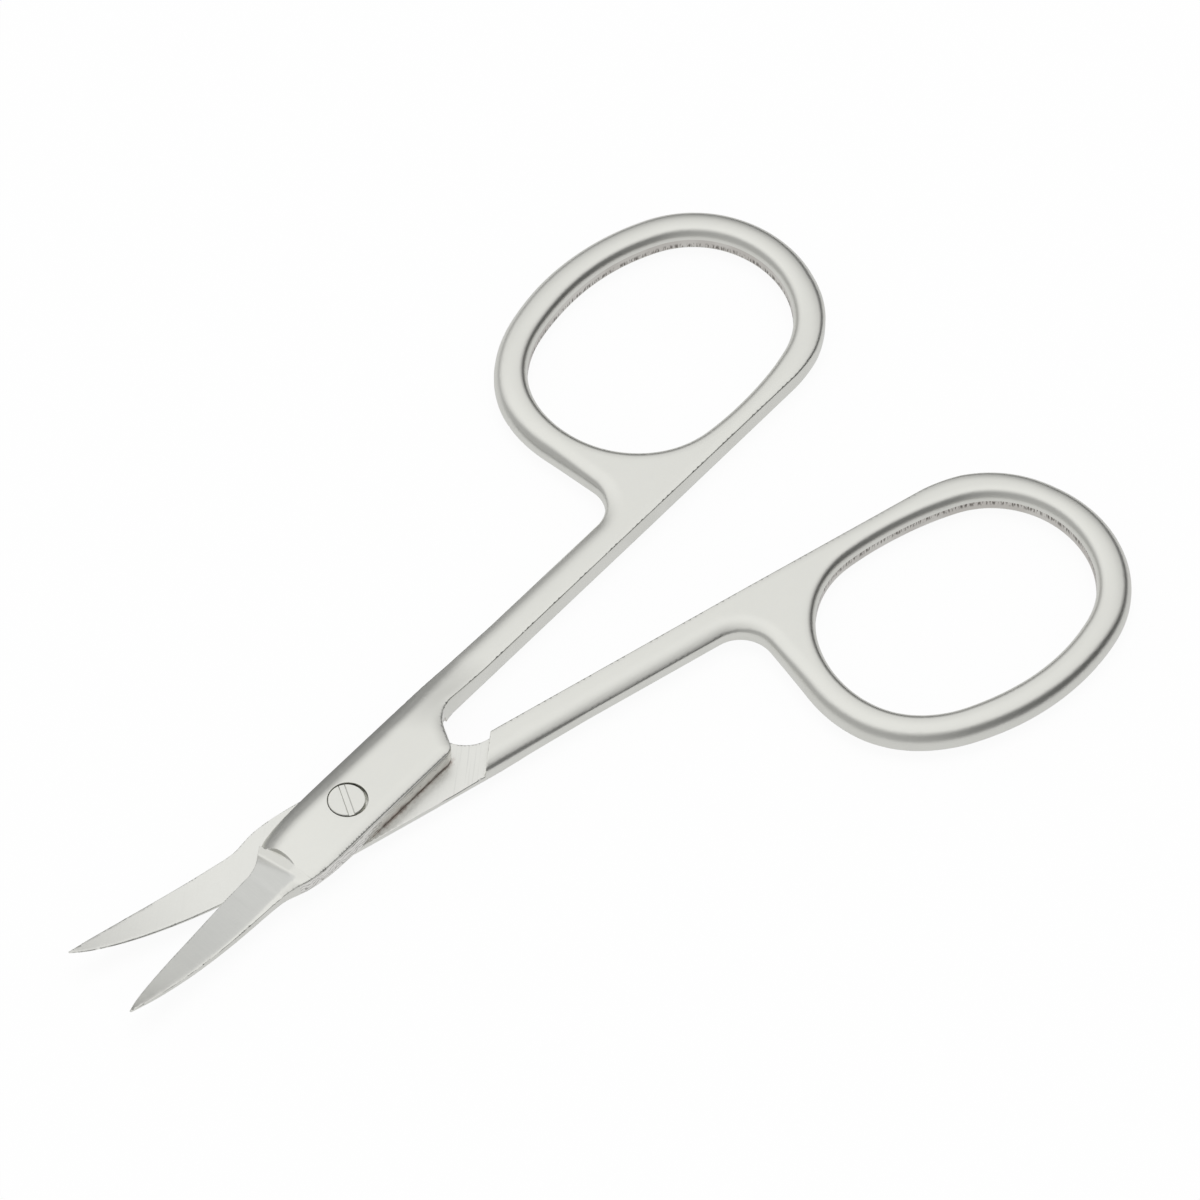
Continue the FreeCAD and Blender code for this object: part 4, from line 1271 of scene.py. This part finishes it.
@dataclass(frozen=True)
class DressedSteel(Steel):
    """The wall beside the pivot, filed by hand in wavy bands. Its colour is lighter than the faces' steel
    as painted light, and its foot, where the other half rubs, is dark with painted contact shade and a
    stain.
    """

    name: str = "dressed_steel_painted_light_and_shade"
    # Lighter than the steel of the faces: painted light on the wall.
    colour: tuple = (0.99, 0.98, 0.945)
    dark_line_and_shade: tuple = (0.10, 0.085, 0.075)
    rough: float = 0.3
    wave_density: float = 1000.0
    wave: float = 1.3
    free: tuple = ((0.0, 0.1), (0.1, 0.05), (0.16, 0.75), (0.22, 0.12), (0.36, 0.08), (0.42, 0.7),
                   (0.48, 0.1), (0.6, 0.04), (0.67, 0.6), (0.73, 0.06), (0.92, 0.1), (1.0, 0.7))
    # Beside the other half the foot of the wall is dark: painted contact shade with a stain.
    rubbed_and_shaded: tuple = ((0.0, 0.8), (0.09, 0.6), (0.15, 0.25), (0.22, 0.07), (0.5, 0.04), (0.66, 0.04),
                     (0.72, 0.35), (0.77, 0.05), (0.92, 0.08), (1.0, 0.6))

    def dress(self, tree: bpy.types.NodeTree, place: bpy.types.NodeSocket,
              colour: bpy.types.NodeSocket, height: bpy.types.NodeSocket) -> tuple:
        """Adds the bands, and the painted contact shade at the foot of the wall beside the other half."""
        rise = add_attribute(tree, "rise")
        marks = Effects.get("file").placed(tree, Along=add_attribute(tree, "along"), Rise=rise,
                                           Density=self.wave_density, Length=1.6)
        swing = add_math(tree, "MULTIPLY", marks["Unevenness"], self.wave)
        inside = add_math(tree, "MULTIPLY", rise, add_math(tree, "SUBTRACT", 1.0, rise))
        swing = add_math(tree, "MULTIPLY", swing, add_math(tree, "MULTIPLY", inside, 4.0))
        level = add_math(tree, "ADD", rise, swing)
        free = add_ramp(tree, level, self.free)
        rubbed_and_shaded = add_ramp(tree, level, self.rubbed_and_shaded)
        mask = add_tint(tree, free, rubbed_and_shaded, add_attribute(tree, "stain_and_contact_shade"))
        return add_tint(tree, colour, self.dark_line_and_shade, mask), add_math(tree, "MULTIPLY_ADD", level, 2.0, height)


@dataclass(frozen=True)
class ScrewSteel(Steel):
    """The head of the screw, turned and then flattened with the block's face."""

    name: str = "screw_steel"
    density: tuple = (5200.0, 5200.0, 5200.0)
    mottle: float = 0.04


@dataclass
class PivotScrew:
    """The slotted screw that both halves turn on."""

    head_share: float = 0.934
    head_shift: float = 0.061
    head_height: float = 0.8
    head_round: float = 0.05
    shank_radius: float = 1.08
    thread_radius: float = 0.94
    end_round: float = 0.15
    slot_width: float = 0.42
    slot_depth: float = 0.08
    slot_angle: float = 65.6

    def tree(self, sizes: dict) -> bpy.types.GeometryNodeTree:
        """Geometry nodes that turn the screw and cut its slot.

        Args:
            sizes: Default of each named input, in metres or radians.

        Returns:
            The node tree.
        """
        tree = bpy.data.node_groups.new("slotted_screw", "GeometryNodeTree")
        for label, value in sizes.items():
            socket = tree.interface.new_socket(name=label, in_out="INPUT", socket_type="NodeSocketFloat")
            socket.default_value = value
        tree.interface.new_socket(name="Steel", in_out="INPUT", socket_type="NodeSocketMaterial")
        tree.interface.new_socket(name="Geometry", in_out="OUTPUT", socket_type="NodeSocketGeometry")
        given = tree.nodes.new("NodeGroupInput").outputs
        result = tree.nodes.new("NodeGroupOutput").inputs
        shoulder = add_math(tree, "SUBTRACT", given["Top"], given["Head Round"])
        narrow = add_math(tree, "SUBTRACT", given["Head Radius"], given["Head Round"])
        under = add_math(tree, "SUBTRACT", given["Top"], given["Head Height"])
        tip = add_math(tree, "SUBTRACT", given["Thread Radius"], given["End Round"])
        collar = add_math(tree, "ADD", given["Bottom"], given["End Round"])
        middle = add_math(tree, "MULTIPLY_ADD", given["Top"], 0.5, 0.0)
        levels = ((given["Bottom"], tip), (collar, given["Thread Radius"]),
                  (middle, given["Thread Radius"]), (middle, given["Shank Radius"]),
                  (under, given["Shank Radius"]), (under, given["Head Radius"]),
                  (shoulder, given["Head Radius"]), (given["Top"], narrow))
        turned_bar = self._lathe(tree, levels)
        floor = add_math(tree, "SUBTRACT", given["Top"], given["Slot Depth"])
        root = add_math(tree, "MULTIPLY", given["Slot Width"], math.sqrt(0.5))
        brim = add_math(tree, "MULTIPLY_ADD", given["Slot Depth"], math.sqrt(2.0) * 1.5, root)
        above = add_math(tree, "MULTIPLY_ADD", given["Slot Depth"], 0.5, given["Top"])
        cutter = self._wedge(tree, floor, above, root, brim)
        first = self._turned(tree, cutter, math.pi / 4, (1.0, 1.0, 1.0))
        longer = self._turned(tree, first, 0.0, (12.0, 1.0, 1.0))
        turned = self._turned(tree, longer, given["Slot Angle"], (1.0, 1.0, 1.0))
        cut = tree.nodes.new("GeometryNodeMeshBoolean")
        cut.operation = "DIFFERENCE"
        cut.solver = "EXACT"
        tree.links.new(turned_bar, cut.inputs["Mesh 1"])
        tree.links.new(turned, cut.inputs["Mesh 2"])
        real = tree.nodes.new("GeometryNodeRealizeInstances")
        dress = tree.nodes.new("GeometryNodeSetMaterial")
        tree.links.new(cut.outputs["Mesh"], real.inputs["Geometry"])
        tree.links.new(real.outputs["Geometry"], dress.inputs["Geometry"])
        tree.links.new(given["Steel"], dress.inputs["Material"])
        tree.links.new(dress.outputs["Geometry"], result["Geometry"])
        return tree

    def _lathe(self, tree: bpy.types.NodeTree, levels: tuple) -> bpy.types.NodeSocket:
        """Turns a bar to a radius at each of its levels.

        Args:
            tree: Node tree to add to.
            levels: Height and radius sockets, from the lowest level up.

        Returns:
            The mesh.
        """
        last = len(levels) - 1
        bar = tree.nodes.new("GeometryNodeMeshCylinder")
        bar.inputs["Vertices"].default_value = 96
        bar.inputs["Side Segments"].default_value = last
        bar.inputs["Radius"].default_value = 1.0
        bar.inputs["Depth"].default_value = float(last)
        spot = tree.nodes.new("ShaderNodeSeparateXYZ")
        tree.links.new(tree.nodes.new("GeometryNodeInputPosition").outputs[0], spot.inputs[0])
        level = add_math(tree, "ADD", spot.outputs["Z"], last / 2)
        height, radius = levels[0]
        for i in range(1, len(levels)):
            past = add_math(tree, "GREATER_THAN", level, i - 0.5)
            step = [add_math(tree, "SUBTRACT", new, old) for new, old in zip(levels[i], levels[i - 1])]
            height = add_math(tree, "MULTIPLY_ADD", past, step[0], height)
            radius = add_math(tree, "MULTIPLY_ADD", past, step[1], radius)
        place = tree.nodes.new("ShaderNodeCombineXYZ")
        tree.links.new(add_math(tree, "MULTIPLY", spot.outputs["X"], radius), place.inputs["X"])
        tree.links.new(add_math(tree, "MULTIPLY", spot.outputs["Y"], radius), place.inputs["Y"])
        tree.links.new(height, place.inputs["Z"])
        move = tree.nodes.new("GeometryNodeSetPosition")
        tree.links.new(bar.outputs["Mesh"], move.inputs["Geometry"])
        tree.links.new(place.outputs[0], move.inputs["Position"])
        return move.outputs["Geometry"]

    def _wedge(self, tree: bpy.types.NodeTree, low: bpy.types.NodeSocket,
               high: bpy.types.NodeSocket, wide_low: bpy.types.NodeSocket,
               wide_high: bpy.types.NodeSocket) -> bpy.types.NodeSocket:
        """A square block between two heights, wider at the top."""
        cone = tree.nodes.new("GeometryNodeMeshCone")
        cone.inputs["Vertices"].default_value = 4
        tree.links.new(wide_high, cone.inputs["Radius Top"])
        tree.links.new(wide_low, cone.inputs["Radius Bottom"])
        tree.links.new(add_math(tree, "SUBTRACT", high, low), cone.inputs["Depth"])
        lift = tree.nodes.new("ShaderNodeCombineXYZ")
        tree.links.new(low, lift.inputs["Z"])
        move = tree.nodes.new("GeometryNodeTransform")
        tree.links.new(cone.outputs["Mesh"], move.inputs["Geometry"])
        tree.links.new(lift.outputs[0], move.inputs["Translation"])
        return move.outputs["Geometry"]

    def _turned(self, tree: bpy.types.NodeTree, shape: bpy.types.NodeSocket, turn: object,
                scale: tuple) -> bpy.types.NodeSocket:
        """Turns a shape about the pivot axis and scales it."""
        move = tree.nodes.new("GeometryNodeTransform")
        tree.links.new(shape, move.inputs["Geometry"])
        move.inputs["Scale"].default_value = scale
        if isinstance(turn, bpy.types.NodeSocket):
            spin = tree.nodes.new("ShaderNodeCombineXYZ")
            tree.links.new(turn, spin.inputs["Z"])
            tree.links.new(spin.outputs[0], move.inputs["Rotation"])
        else:
            move.inputs["Rotation"].default_value = (0.0, 0.0, turn)
        return move.outputs["Geometry"]

    def build(self) -> bpy.types.Object:
        """Builds the screw where the CAD screw is."""
        low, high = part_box("pivot_screw")
        sizes = {
            "Top": high.z,
            "Bottom": low.z,
            "Head Radius": (high.x - low.x) / 2 * self.head_share,
            "Head Height": self.head_height * MM,
            "Head Round": self.head_round * MM,
            "Shank Radius": self.shank_radius * MM,
            "Thread Radius": self.thread_radius * MM,
            "End Round": self.end_round * MM,
            "Slot Width": self.slot_width * MM,
            "Slot Depth": self.slot_depth * MM,
            "Slot Angle": math.radians(self.slot_angle),
        }
        blank = bpy.data.meshes.new("screw_blank")
        maker = bpy.data.objects.new("screw_maker", blank)
        bpy.context.scene.collection.objects.link(maker)
        modifier = maker.modifiers.new("slotted_screw", "NODES")
        modifier.node_group = self.tree(sizes)
        steel = ScrewSteel().material()
        for item in modifier.node_group.interface.items_tree:
            if item.in_out == "INPUT":
                modifier[item.identifier] = steel if item.name == "Steel" else sizes[item.name]
        graph = bpy.context.evaluated_depsgraph_get()
        mesh = bpy.data.meshes.new_from_object(maker.evaluated_get(graph))
        mesh.name = "pivot_screw_turned"
        maker.modifiers.clear()
        bpy.data.objects.remove(maker)
        shift = self.head_shift * MM
        mesh.transform(Matrix.Translation((shift, -shift, 0.0)))
        mesh.set_sharp_from_angle(angle=math.radians(30))
        piece = bpy.data.objects.new("slotted_pivot_screw", mesh)
        bpy.context.scene.collection.objects.link(piece)
        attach(piece, "lower")
        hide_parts("pivot_screw")
        log.info("slotted_pivot_screw: %d points, %d faces", len(mesh.vertices), len(mesh.polygons))
        return piece


@dataclass
class Studio:
    """Pale floor, soft light and the camera, all outside the object."""

    target: tuple = (-29.022, -2.06, 1.89)
    azimuth: float = 138.16
    elevation: float = 54.68
    distance: float = 640.9
    scale: float = 12.2
    frame_pixels: float = 1200.0
    sensor: float = 36.0
    room_light: float = 0.7
    table_in_steel: float = 0.7
    tent_radius: float = 3.0
    climb: tuple = ((0.0, 0.0), (0.15, 0.0), (0.35, 0.45), (0.48, 0.75), (0.65, 0.85), (0.8, 1.0))
    sides: tuple = ((0.0, 0.45), (0.235, 0.4), (0.42, 0.33), (0.58, 0.2), (0.74, 0.11), (0.92, 0.05))
    shade_turn: float = 32.0
    shade_drop: float = 0.6
    side_drop: float = 0.22
    # A dark card beside the upper half, seen only in the steel: painted shadow of the scissors on the
    # table.
    card_along: tuple = (-31.0, 8.0)
    card_across: tuple = (-3.75, -45.0)
    card_turn: float = 7.45
    painted_shadow_tone: float = 0.24
    card_lift: float = 0.05
    lamp_size: float = 1.2
    lamp_height: float = 1.6
    lamp_power: float = 9.0

    def camera(self) -> None:
        """Places the camera at the photograph's viewing angle."""
        a, e = math.radians(self.azimuth), math.radians(self.elevation)
        back = Vector((math.sin(a) * math.cos(e), -math.cos(a) * math.cos(e), math.sin(e)))
        data = bpy.data.cameras.new("camera")
        data.sensor_width = self.sensor
        data.lens = self.scale * self.distance / self.frame_pixels * self.sensor
        data.clip_start, data.clip_end = 0.01, 20.0
        camera = bpy.data.objects.new("camera", data)
        bpy.context.scene.collection.objects.link(camera)
        camera.location = (Vector(self.target) + back * self.distance) * MM
        camera.rotation_mode = "QUATERNION"
        camera.rotation_quaternion = (-back).to_track_quat("-Z", "Y")
        bpy.context.scene.camera = camera

    def world(self) -> None:
        """A white room, as bright in the steel as behind it, and softer on matt surfaces."""
        world = bpy.data.worlds.new("white_room")
        bpy.context.scene.world = world
        world.use_nodes = True
        tree = world.node_tree
        seen = white_where_seen(tree, self.room_light)
        background = tree.nodes["Background"]
        background.inputs["Color"].default_value = (1.0, 1.0, 1.0, 1.0)
        tree.links.new(seen, background.inputs["Strength"])

    def floor(self) -> None:
        """A pale table top, white to the camera and pale in the steel, that keeps a soft shadow."""
        mesh = bpy.data.meshes.new("table_top")
        count, radius = 96, self.tent_radius
        turns = [math.tau * i / count for i in range(count)]
        mesh.from_pydata([(radius * math.cos(t), radius * math.sin(t), 0.0) for t in turns], [],
                         [tuple(range(count))])
        table = bpy.data.objects.new("table_top", mesh)
        table.location.z = CAD_LOW.z
        bpy.context.scene.collection.objects.link(table)
        made = bpy.data.materials.new("table_white")
        made.use_nodes = True
        tree = made.node_tree
        tree.nodes.clear()
        matt = tree.nodes.new("ShaderNodeBsdfDiffuse")
        matt.inputs["Color"].default_value = (0.92, 0.92, 0.92, 1.0)
        glow = tree.nodes.new("ShaderNodeEmission")
        mix = tree.nodes.new("ShaderNodeMixShader")
        output = tree.nodes.new("ShaderNodeOutputMaterial")
        path = tree.nodes.new("ShaderNodeLightPath")
        share = add_math(tree, "MULTIPLY", path.outputs["Is Camera Ray"], 0.92)
        bright = add_math(tree, "MULTIPLY", path.outputs["Is Glossy Ray"], self.table_in_steel - 1.0)
        tree.links.new(add_math(tree, "ADD", bright, 1.0), glow.inputs["Strength"])
        share = add_math(tree, "ADD", share, path.outputs["Is Glossy Ray"])
        share = add_math(tree, "MAXIMUM", share, path.outputs["Is Transmission Ray"])
        tree.links.new(share, mix.inputs["Fac"])
        tree.links.new(matt.outputs[0], mix.inputs[1])
        tree.links.new(glow.outputs[0], mix.inputs[2])
        tree.links.new(mix.outputs[0], output.inputs["Surface"])
        mesh.materials.append(made)

    def tent(self) -> None:
        """A cloth tent round the table that only the steel reflects, with a dark side."""
        mesh = bpy.data.meshes.new("light_tent")
        around, rows = 96, 36
        low = math.radians(-1.0)
        points = []
        for row in range(rows + 1):
            climb = low + (math.pi / 2 - low) * row / rows
            for i in range(around):
                turn = math.tau * i / around
                points.append((math.cos(climb) * math.cos(turn), math.cos(climb) * math.sin(turn),
                               math.sin(climb)))
        faces = [(r * around + i, r * around + (i + 1) % around, (r + 1) * around + (i + 1) % around,
                  (r + 1) * around + i) for r in range(rows) for i in range(around)]
        mesh.from_pydata([tuple(c * self.tent_radius for c in p) for p in points], [], faces)
        cloth = bpy.data.objects.new("light_tent", mesh)
        bpy.context.scene.collection.objects.link(cloth)
        cloth.visible_camera = False
        cloth.visible_diffuse = False
        cloth.visible_shadow = False
        cloth.visible_transmission = False
        mesh.materials.append(self._tent_cloth())

    def _tent_cloth(self) -> bpy.types.Material:
        """Cloth that is white above and dark low down, darkest beside the table.

        Towards the photographer the white starts higher up.
        """
        made = bpy.data.materials.new("tent_cloth")
        made.use_nodes = True
        tree = made.node_tree
        tree.nodes.clear()
        turn = math.radians(self.azimuth)
        near = (math.sin(turn), -math.cos(turn), 0.0)
        turn = math.radians(self.azimuth + self.shade_turn)
        shaded = (math.cos(turn), math.sin(turn), 0.0)
        place = tree.nodes.new("ShaderNodeTexCoord")
        unit = tree.nodes.new("ShaderNodeVectorMath")
        unit.operation = "NORMALIZE"
        tree.links.new(place.outputs["Object"], unit.inputs[0])
        split = tree.nodes.new("ShaderNodeSeparateXYZ")
        tree.links.new(unit.outputs[0], split.inputs[0])
        nearness = tree.nodes.new("ShaderNodeMapRange")
        nearness.interpolation_type = "SMOOTHSTEP"
        nearness.inputs["From Min"].default_value = -0.4
        nearness.inputs["From Max"].default_value = 0.4
        nearness.inputs["To Max"].default_value = self.shade_drop
        tree.links.new(add_dot(tree, unit.outputs[0], near), nearness.inputs["Value"])
        height = add_math(tree, "SUBTRACT", split.outputs["Z"], nearness.outputs["Result"])
        lowered = add_math(tree, "MULTIPLY", add_dot(tree, unit.outputs[0], shaded), self.side_drop)
        height = add_math(tree, "SUBTRACT", height, add_math(tree, "MAXIMUM", lowered, 0.0))
        white = add_ramp(tree, height, self.climb)
        side = add_math(tree, "MULTIPLY_ADD", add_dot(tree, unit.outputs[0], shaded), 0.5, 0.5)
        dark = add_ramp(tree, side, self.sides)
        glow = tree.nodes.new("ShaderNodeEmission")
        output = tree.nodes.new("ShaderNodeOutputMaterial")
        tree.links.new(add_tint(tree, dark, (1.0, 1.0, 1.0), white), glow.inputs["Color"])
        tree.links.new(glow.outputs[0], output.inputs["Surface"])
        return made

    def shadow_card(self) -> None:
        """A dark card on the table beside the upper half, which only the steel reflects: painted shadow
        that stands in for the shade the scissors cast on the table.
        """
        turn = math.radians(self.card_turn)
        cos, sin = math.cos(turn), math.sin(turn)
        (left, right), (near, far) = self.card_along, self.card_across
        corners = ((left, near), (left, far), (right, far), (right, near))
        mesh = bpy.data.meshes.new("painted_shadow_card")
        height = CAD_LOW.z + self.card_lift * MM
        mesh.from_pydata([((x * cos - y * sin) * MM, (x * sin + y * cos) * MM, height)
                          for x, y in corners], [], [(0, 1, 2, 3)])
        shadow_card = bpy.data.objects.new("painted_shadow_card", mesh)
        bpy.context.scene.collection.objects.link(shadow_card)
        shadow_card.visible_camera = False
        shadow_card.visible_diffuse = False
        shadow_card.visible_shadow = False
        shadow_card.visible_transmission = False
        made = bpy.data.materials.new("painted_shadow_black")
        made.use_nodes = True
        tree = made.node_tree
        tree.nodes.clear()
        glow = tree.nodes.new("ShaderNodeEmission")
        glow.inputs["Color"].default_value = (*[self.painted_shadow_tone] * 3, 1.0)
        output = tree.nodes.new("ShaderNodeOutputMaterial")
        tree.links.new(glow.outputs[0], output.inputs["Surface"])
        mesh.materials.append(made)

    def lamp(self) -> None:
        """One wide soft lamp overhead."""
        data = bpy.data.lights.new("overhead", "AREA")
        data.shape = "DISK"
        data.size = self.lamp_size
        data.energy = self.lamp_power
        lamp = bpy.data.objects.new("overhead", data)
        lamp.location = (-0.15, -0.1, self.lamp_height)
        lamp.visible_glossy = False
        bpy.context.scene.collection.objects.link(lamp)

    def build(self) -> None:
        """Sets up everything around the object."""
        self.camera()
        self.world()
        self.floor()
        self.tent()
        self.shadow_card()
        self.lamp()


def add_math(tree: bpy.types.NodeTree, operation: str, *terms: object) -> bpy.types.NodeSocket:
    """Adds a math node.

    Args:
        tree: Node tree to add to.
        operation: Name of the operation.
        terms: Sockets or numbers, in order.

    Returns:
        The socket that carries the result.
    """
    node = tree.nodes.new("ShaderNodeMath")
    node.operation = operation
    for socket, term in zip(node.inputs, terms):
        if isinstance(term, bpy.types.NodeSocket):
            tree.links.new(term, socket)
        else:
            socket.default_value = term
    return node.outputs[0]


def add_dot(tree: bpy.types.NodeTree, vector: bpy.types.NodeSocket, way: tuple) -> bpy.types.NodeSocket:
    """Adds the share of a vector that points along way."""
    node = tree.nodes.new("ShaderNodeVectorMath")
    node.operation = "DOT_PRODUCT"
    tree.links.new(vector, node.inputs[0])
    node.inputs[1].default_value = way
    return node.outputs["Value"]


def add_ramp(tree: bpy.types.NodeTree, value: bpy.types.NodeSocket, stops: tuple) -> bpy.types.NodeSocket:
    """Adds a grey ramp through pairs of position and tone."""
    node = tree.nodes.new("ShaderNodeValToRGB")
    steps = node.color_ramp.elements
    steps[0].position, steps[1].position = stops[0][0], stops[-1][0]
    steps[0].color = (*[stops[0][1]] * 3, 1.0)
    steps[1].color = (*[stops[-1][1]] * 3, 1.0)
    for position, tone in stops[1:-1]:
        steps.new(position).color = (tone, tone, tone, 1.0)
    tree.links.new(value, node.inputs["Fac"])
    return node.outputs["Color"]


def add_vector(tree: bpy.types.NodeTree, operation: str, first: bpy.types.NodeSocket,
               second: bpy.types.NodeSocket) -> bpy.types.NodeSocket:
    """Adds a vector math node for two vectors."""
    node = tree.nodes.new("ShaderNodeVectorMath")
    node.operation = operation
    tree.links.new(first, node.inputs[0])
    tree.links.new(second, node.inputs[1])
    return node.outputs["Vector"]


def add_noise(tree: bpy.types.NodeTree, place: bpy.types.NodeSocket) -> bpy.types.Node:
    """Adds a noise texture of scale 1 with two octaves at a place."""
    node = tree.nodes.new("ShaderNodeTexNoise")
    node.inputs["Scale"].default_value = 1.0
    node.inputs["Detail"].default_value = 2.0
    tree.links.new(place, node.inputs["Vector"])
    return node


def add_spread(tree: bpy.types.NodeTree, value: bpy.types.NodeSocket, first: object,
               last: object) -> bpy.types.NodeSocket:
    """Adds a smooth step that is 0 at first and 1 at last."""
    node = tree.nodes.new("ShaderNodeMapRange")
    node.interpolation_type = "SMOOTHSTEP"
    tree.links.new(value, node.inputs["Value"])
    for name, term in (("From Min", first), ("From Max", last)):
        if isinstance(term, bpy.types.NodeSocket):
            tree.links.new(term, node.inputs[name])
        else:
            node.inputs[name].default_value = term
    return node.outputs["Result"]


def add_attribute(tree: bpy.types.NodeTree, name: str) -> bpy.types.NodeSocket:
    """Adds a number that the mesh carries."""
    node = tree.nodes.new("ShaderNodeAttribute")
    node.attribute_name = name
    return node.outputs["Fac"]


def add_tint(tree: bpy.types.NodeTree, under: object, over: object,
             share: bpy.types.NodeSocket) -> bpy.types.NodeSocket:
    """Mixes one colour over another.

    Args:
        tree: Node tree to add to.
        under: Colour where the share is 0, a socket or three numbers.
        over: Colour where the share is 1.
        share: Share of the colour on top.

    Returns:
        The mixed colour.
    """
    node = tree.nodes.new("ShaderNodeMix")
    node.data_type = "RGBA"
    tree.links.new(share, node.inputs[0])
    colours = [s for s in node.inputs if s.type == "RGBA"]
    for socket, term in zip(colours, (under, over)):
        if isinstance(term, bpy.types.NodeSocket):
            tree.links.new(term, socket)
        else:
            socket.default_value = (*term, 1.0)
    return [s for s in node.outputs if s.type == "RGBA"][0]


def white_where_seen(tree: bpy.types.NodeTree, elsewhere: float) -> bpy.types.NodeSocket:
    """A value of 1 for camera, glossy and transmission rays.

    Args:
        tree: Node tree to add to.
        elsewhere: Value for all other rays.

    Returns:
        The socket that carries the value.
    """
    path = tree.nodes.new("ShaderNodeLightPath")
    last = path.outputs["Is Camera Ray"]
    for name in ("Is Glossy Ray", "Is Transmission Ray"):
        most = tree.nodes.new("ShaderNodeMath")
        most.operation = "MAXIMUM"
        tree.links.new(last, most.inputs[0])
        tree.links.new(path.outputs[name], most.inputs[1])
        last = most.outputs[0]
    spread = tree.nodes.new("ShaderNodeMapRange")
    spread.inputs["To Min"].default_value = elsewhere
    tree.links.new(last, spread.inputs["Value"])
    return spread.outputs["Result"]


def main() -> None:
    """Builds the scissors, then the studio."""
    scene = bpy.context.scene
    scene.view_settings.view_transform = "Standard"
    finishes = [SatinSteel(), FiledSteel(), LappedSteel(), GroundSteel(), DressedSteel()]
    steels = [finish.material() for finish in finishes]
    halves = Forging(Side.UPPER, lap_start=-12.2), Forging(Side.LOWER)
    for half in halves:
        side = half.side
        mesh = half.mesh()
        for steel in steels:
            mesh.materials.append(steel)
        mesh.set_sharp_from_angle(angle=math.radians(40))
        name = f"{side.name.lower()}_forging"
        piece = bpy.data.objects.new(name, mesh)
        scene.collection.objects.link(piece)
        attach(piece, side.name.lower())
        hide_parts(f"{side.name.lower()}_half")
        log.info("%s: %d points, %d faces", name, len(mesh.vertices), len(mesh.polygons))
    PivotScrew().build()
    Studio().build()


if __name__ == "__main__":
    logging.basicConfig(level=logging.INFO, format="%(message)s")
    main()
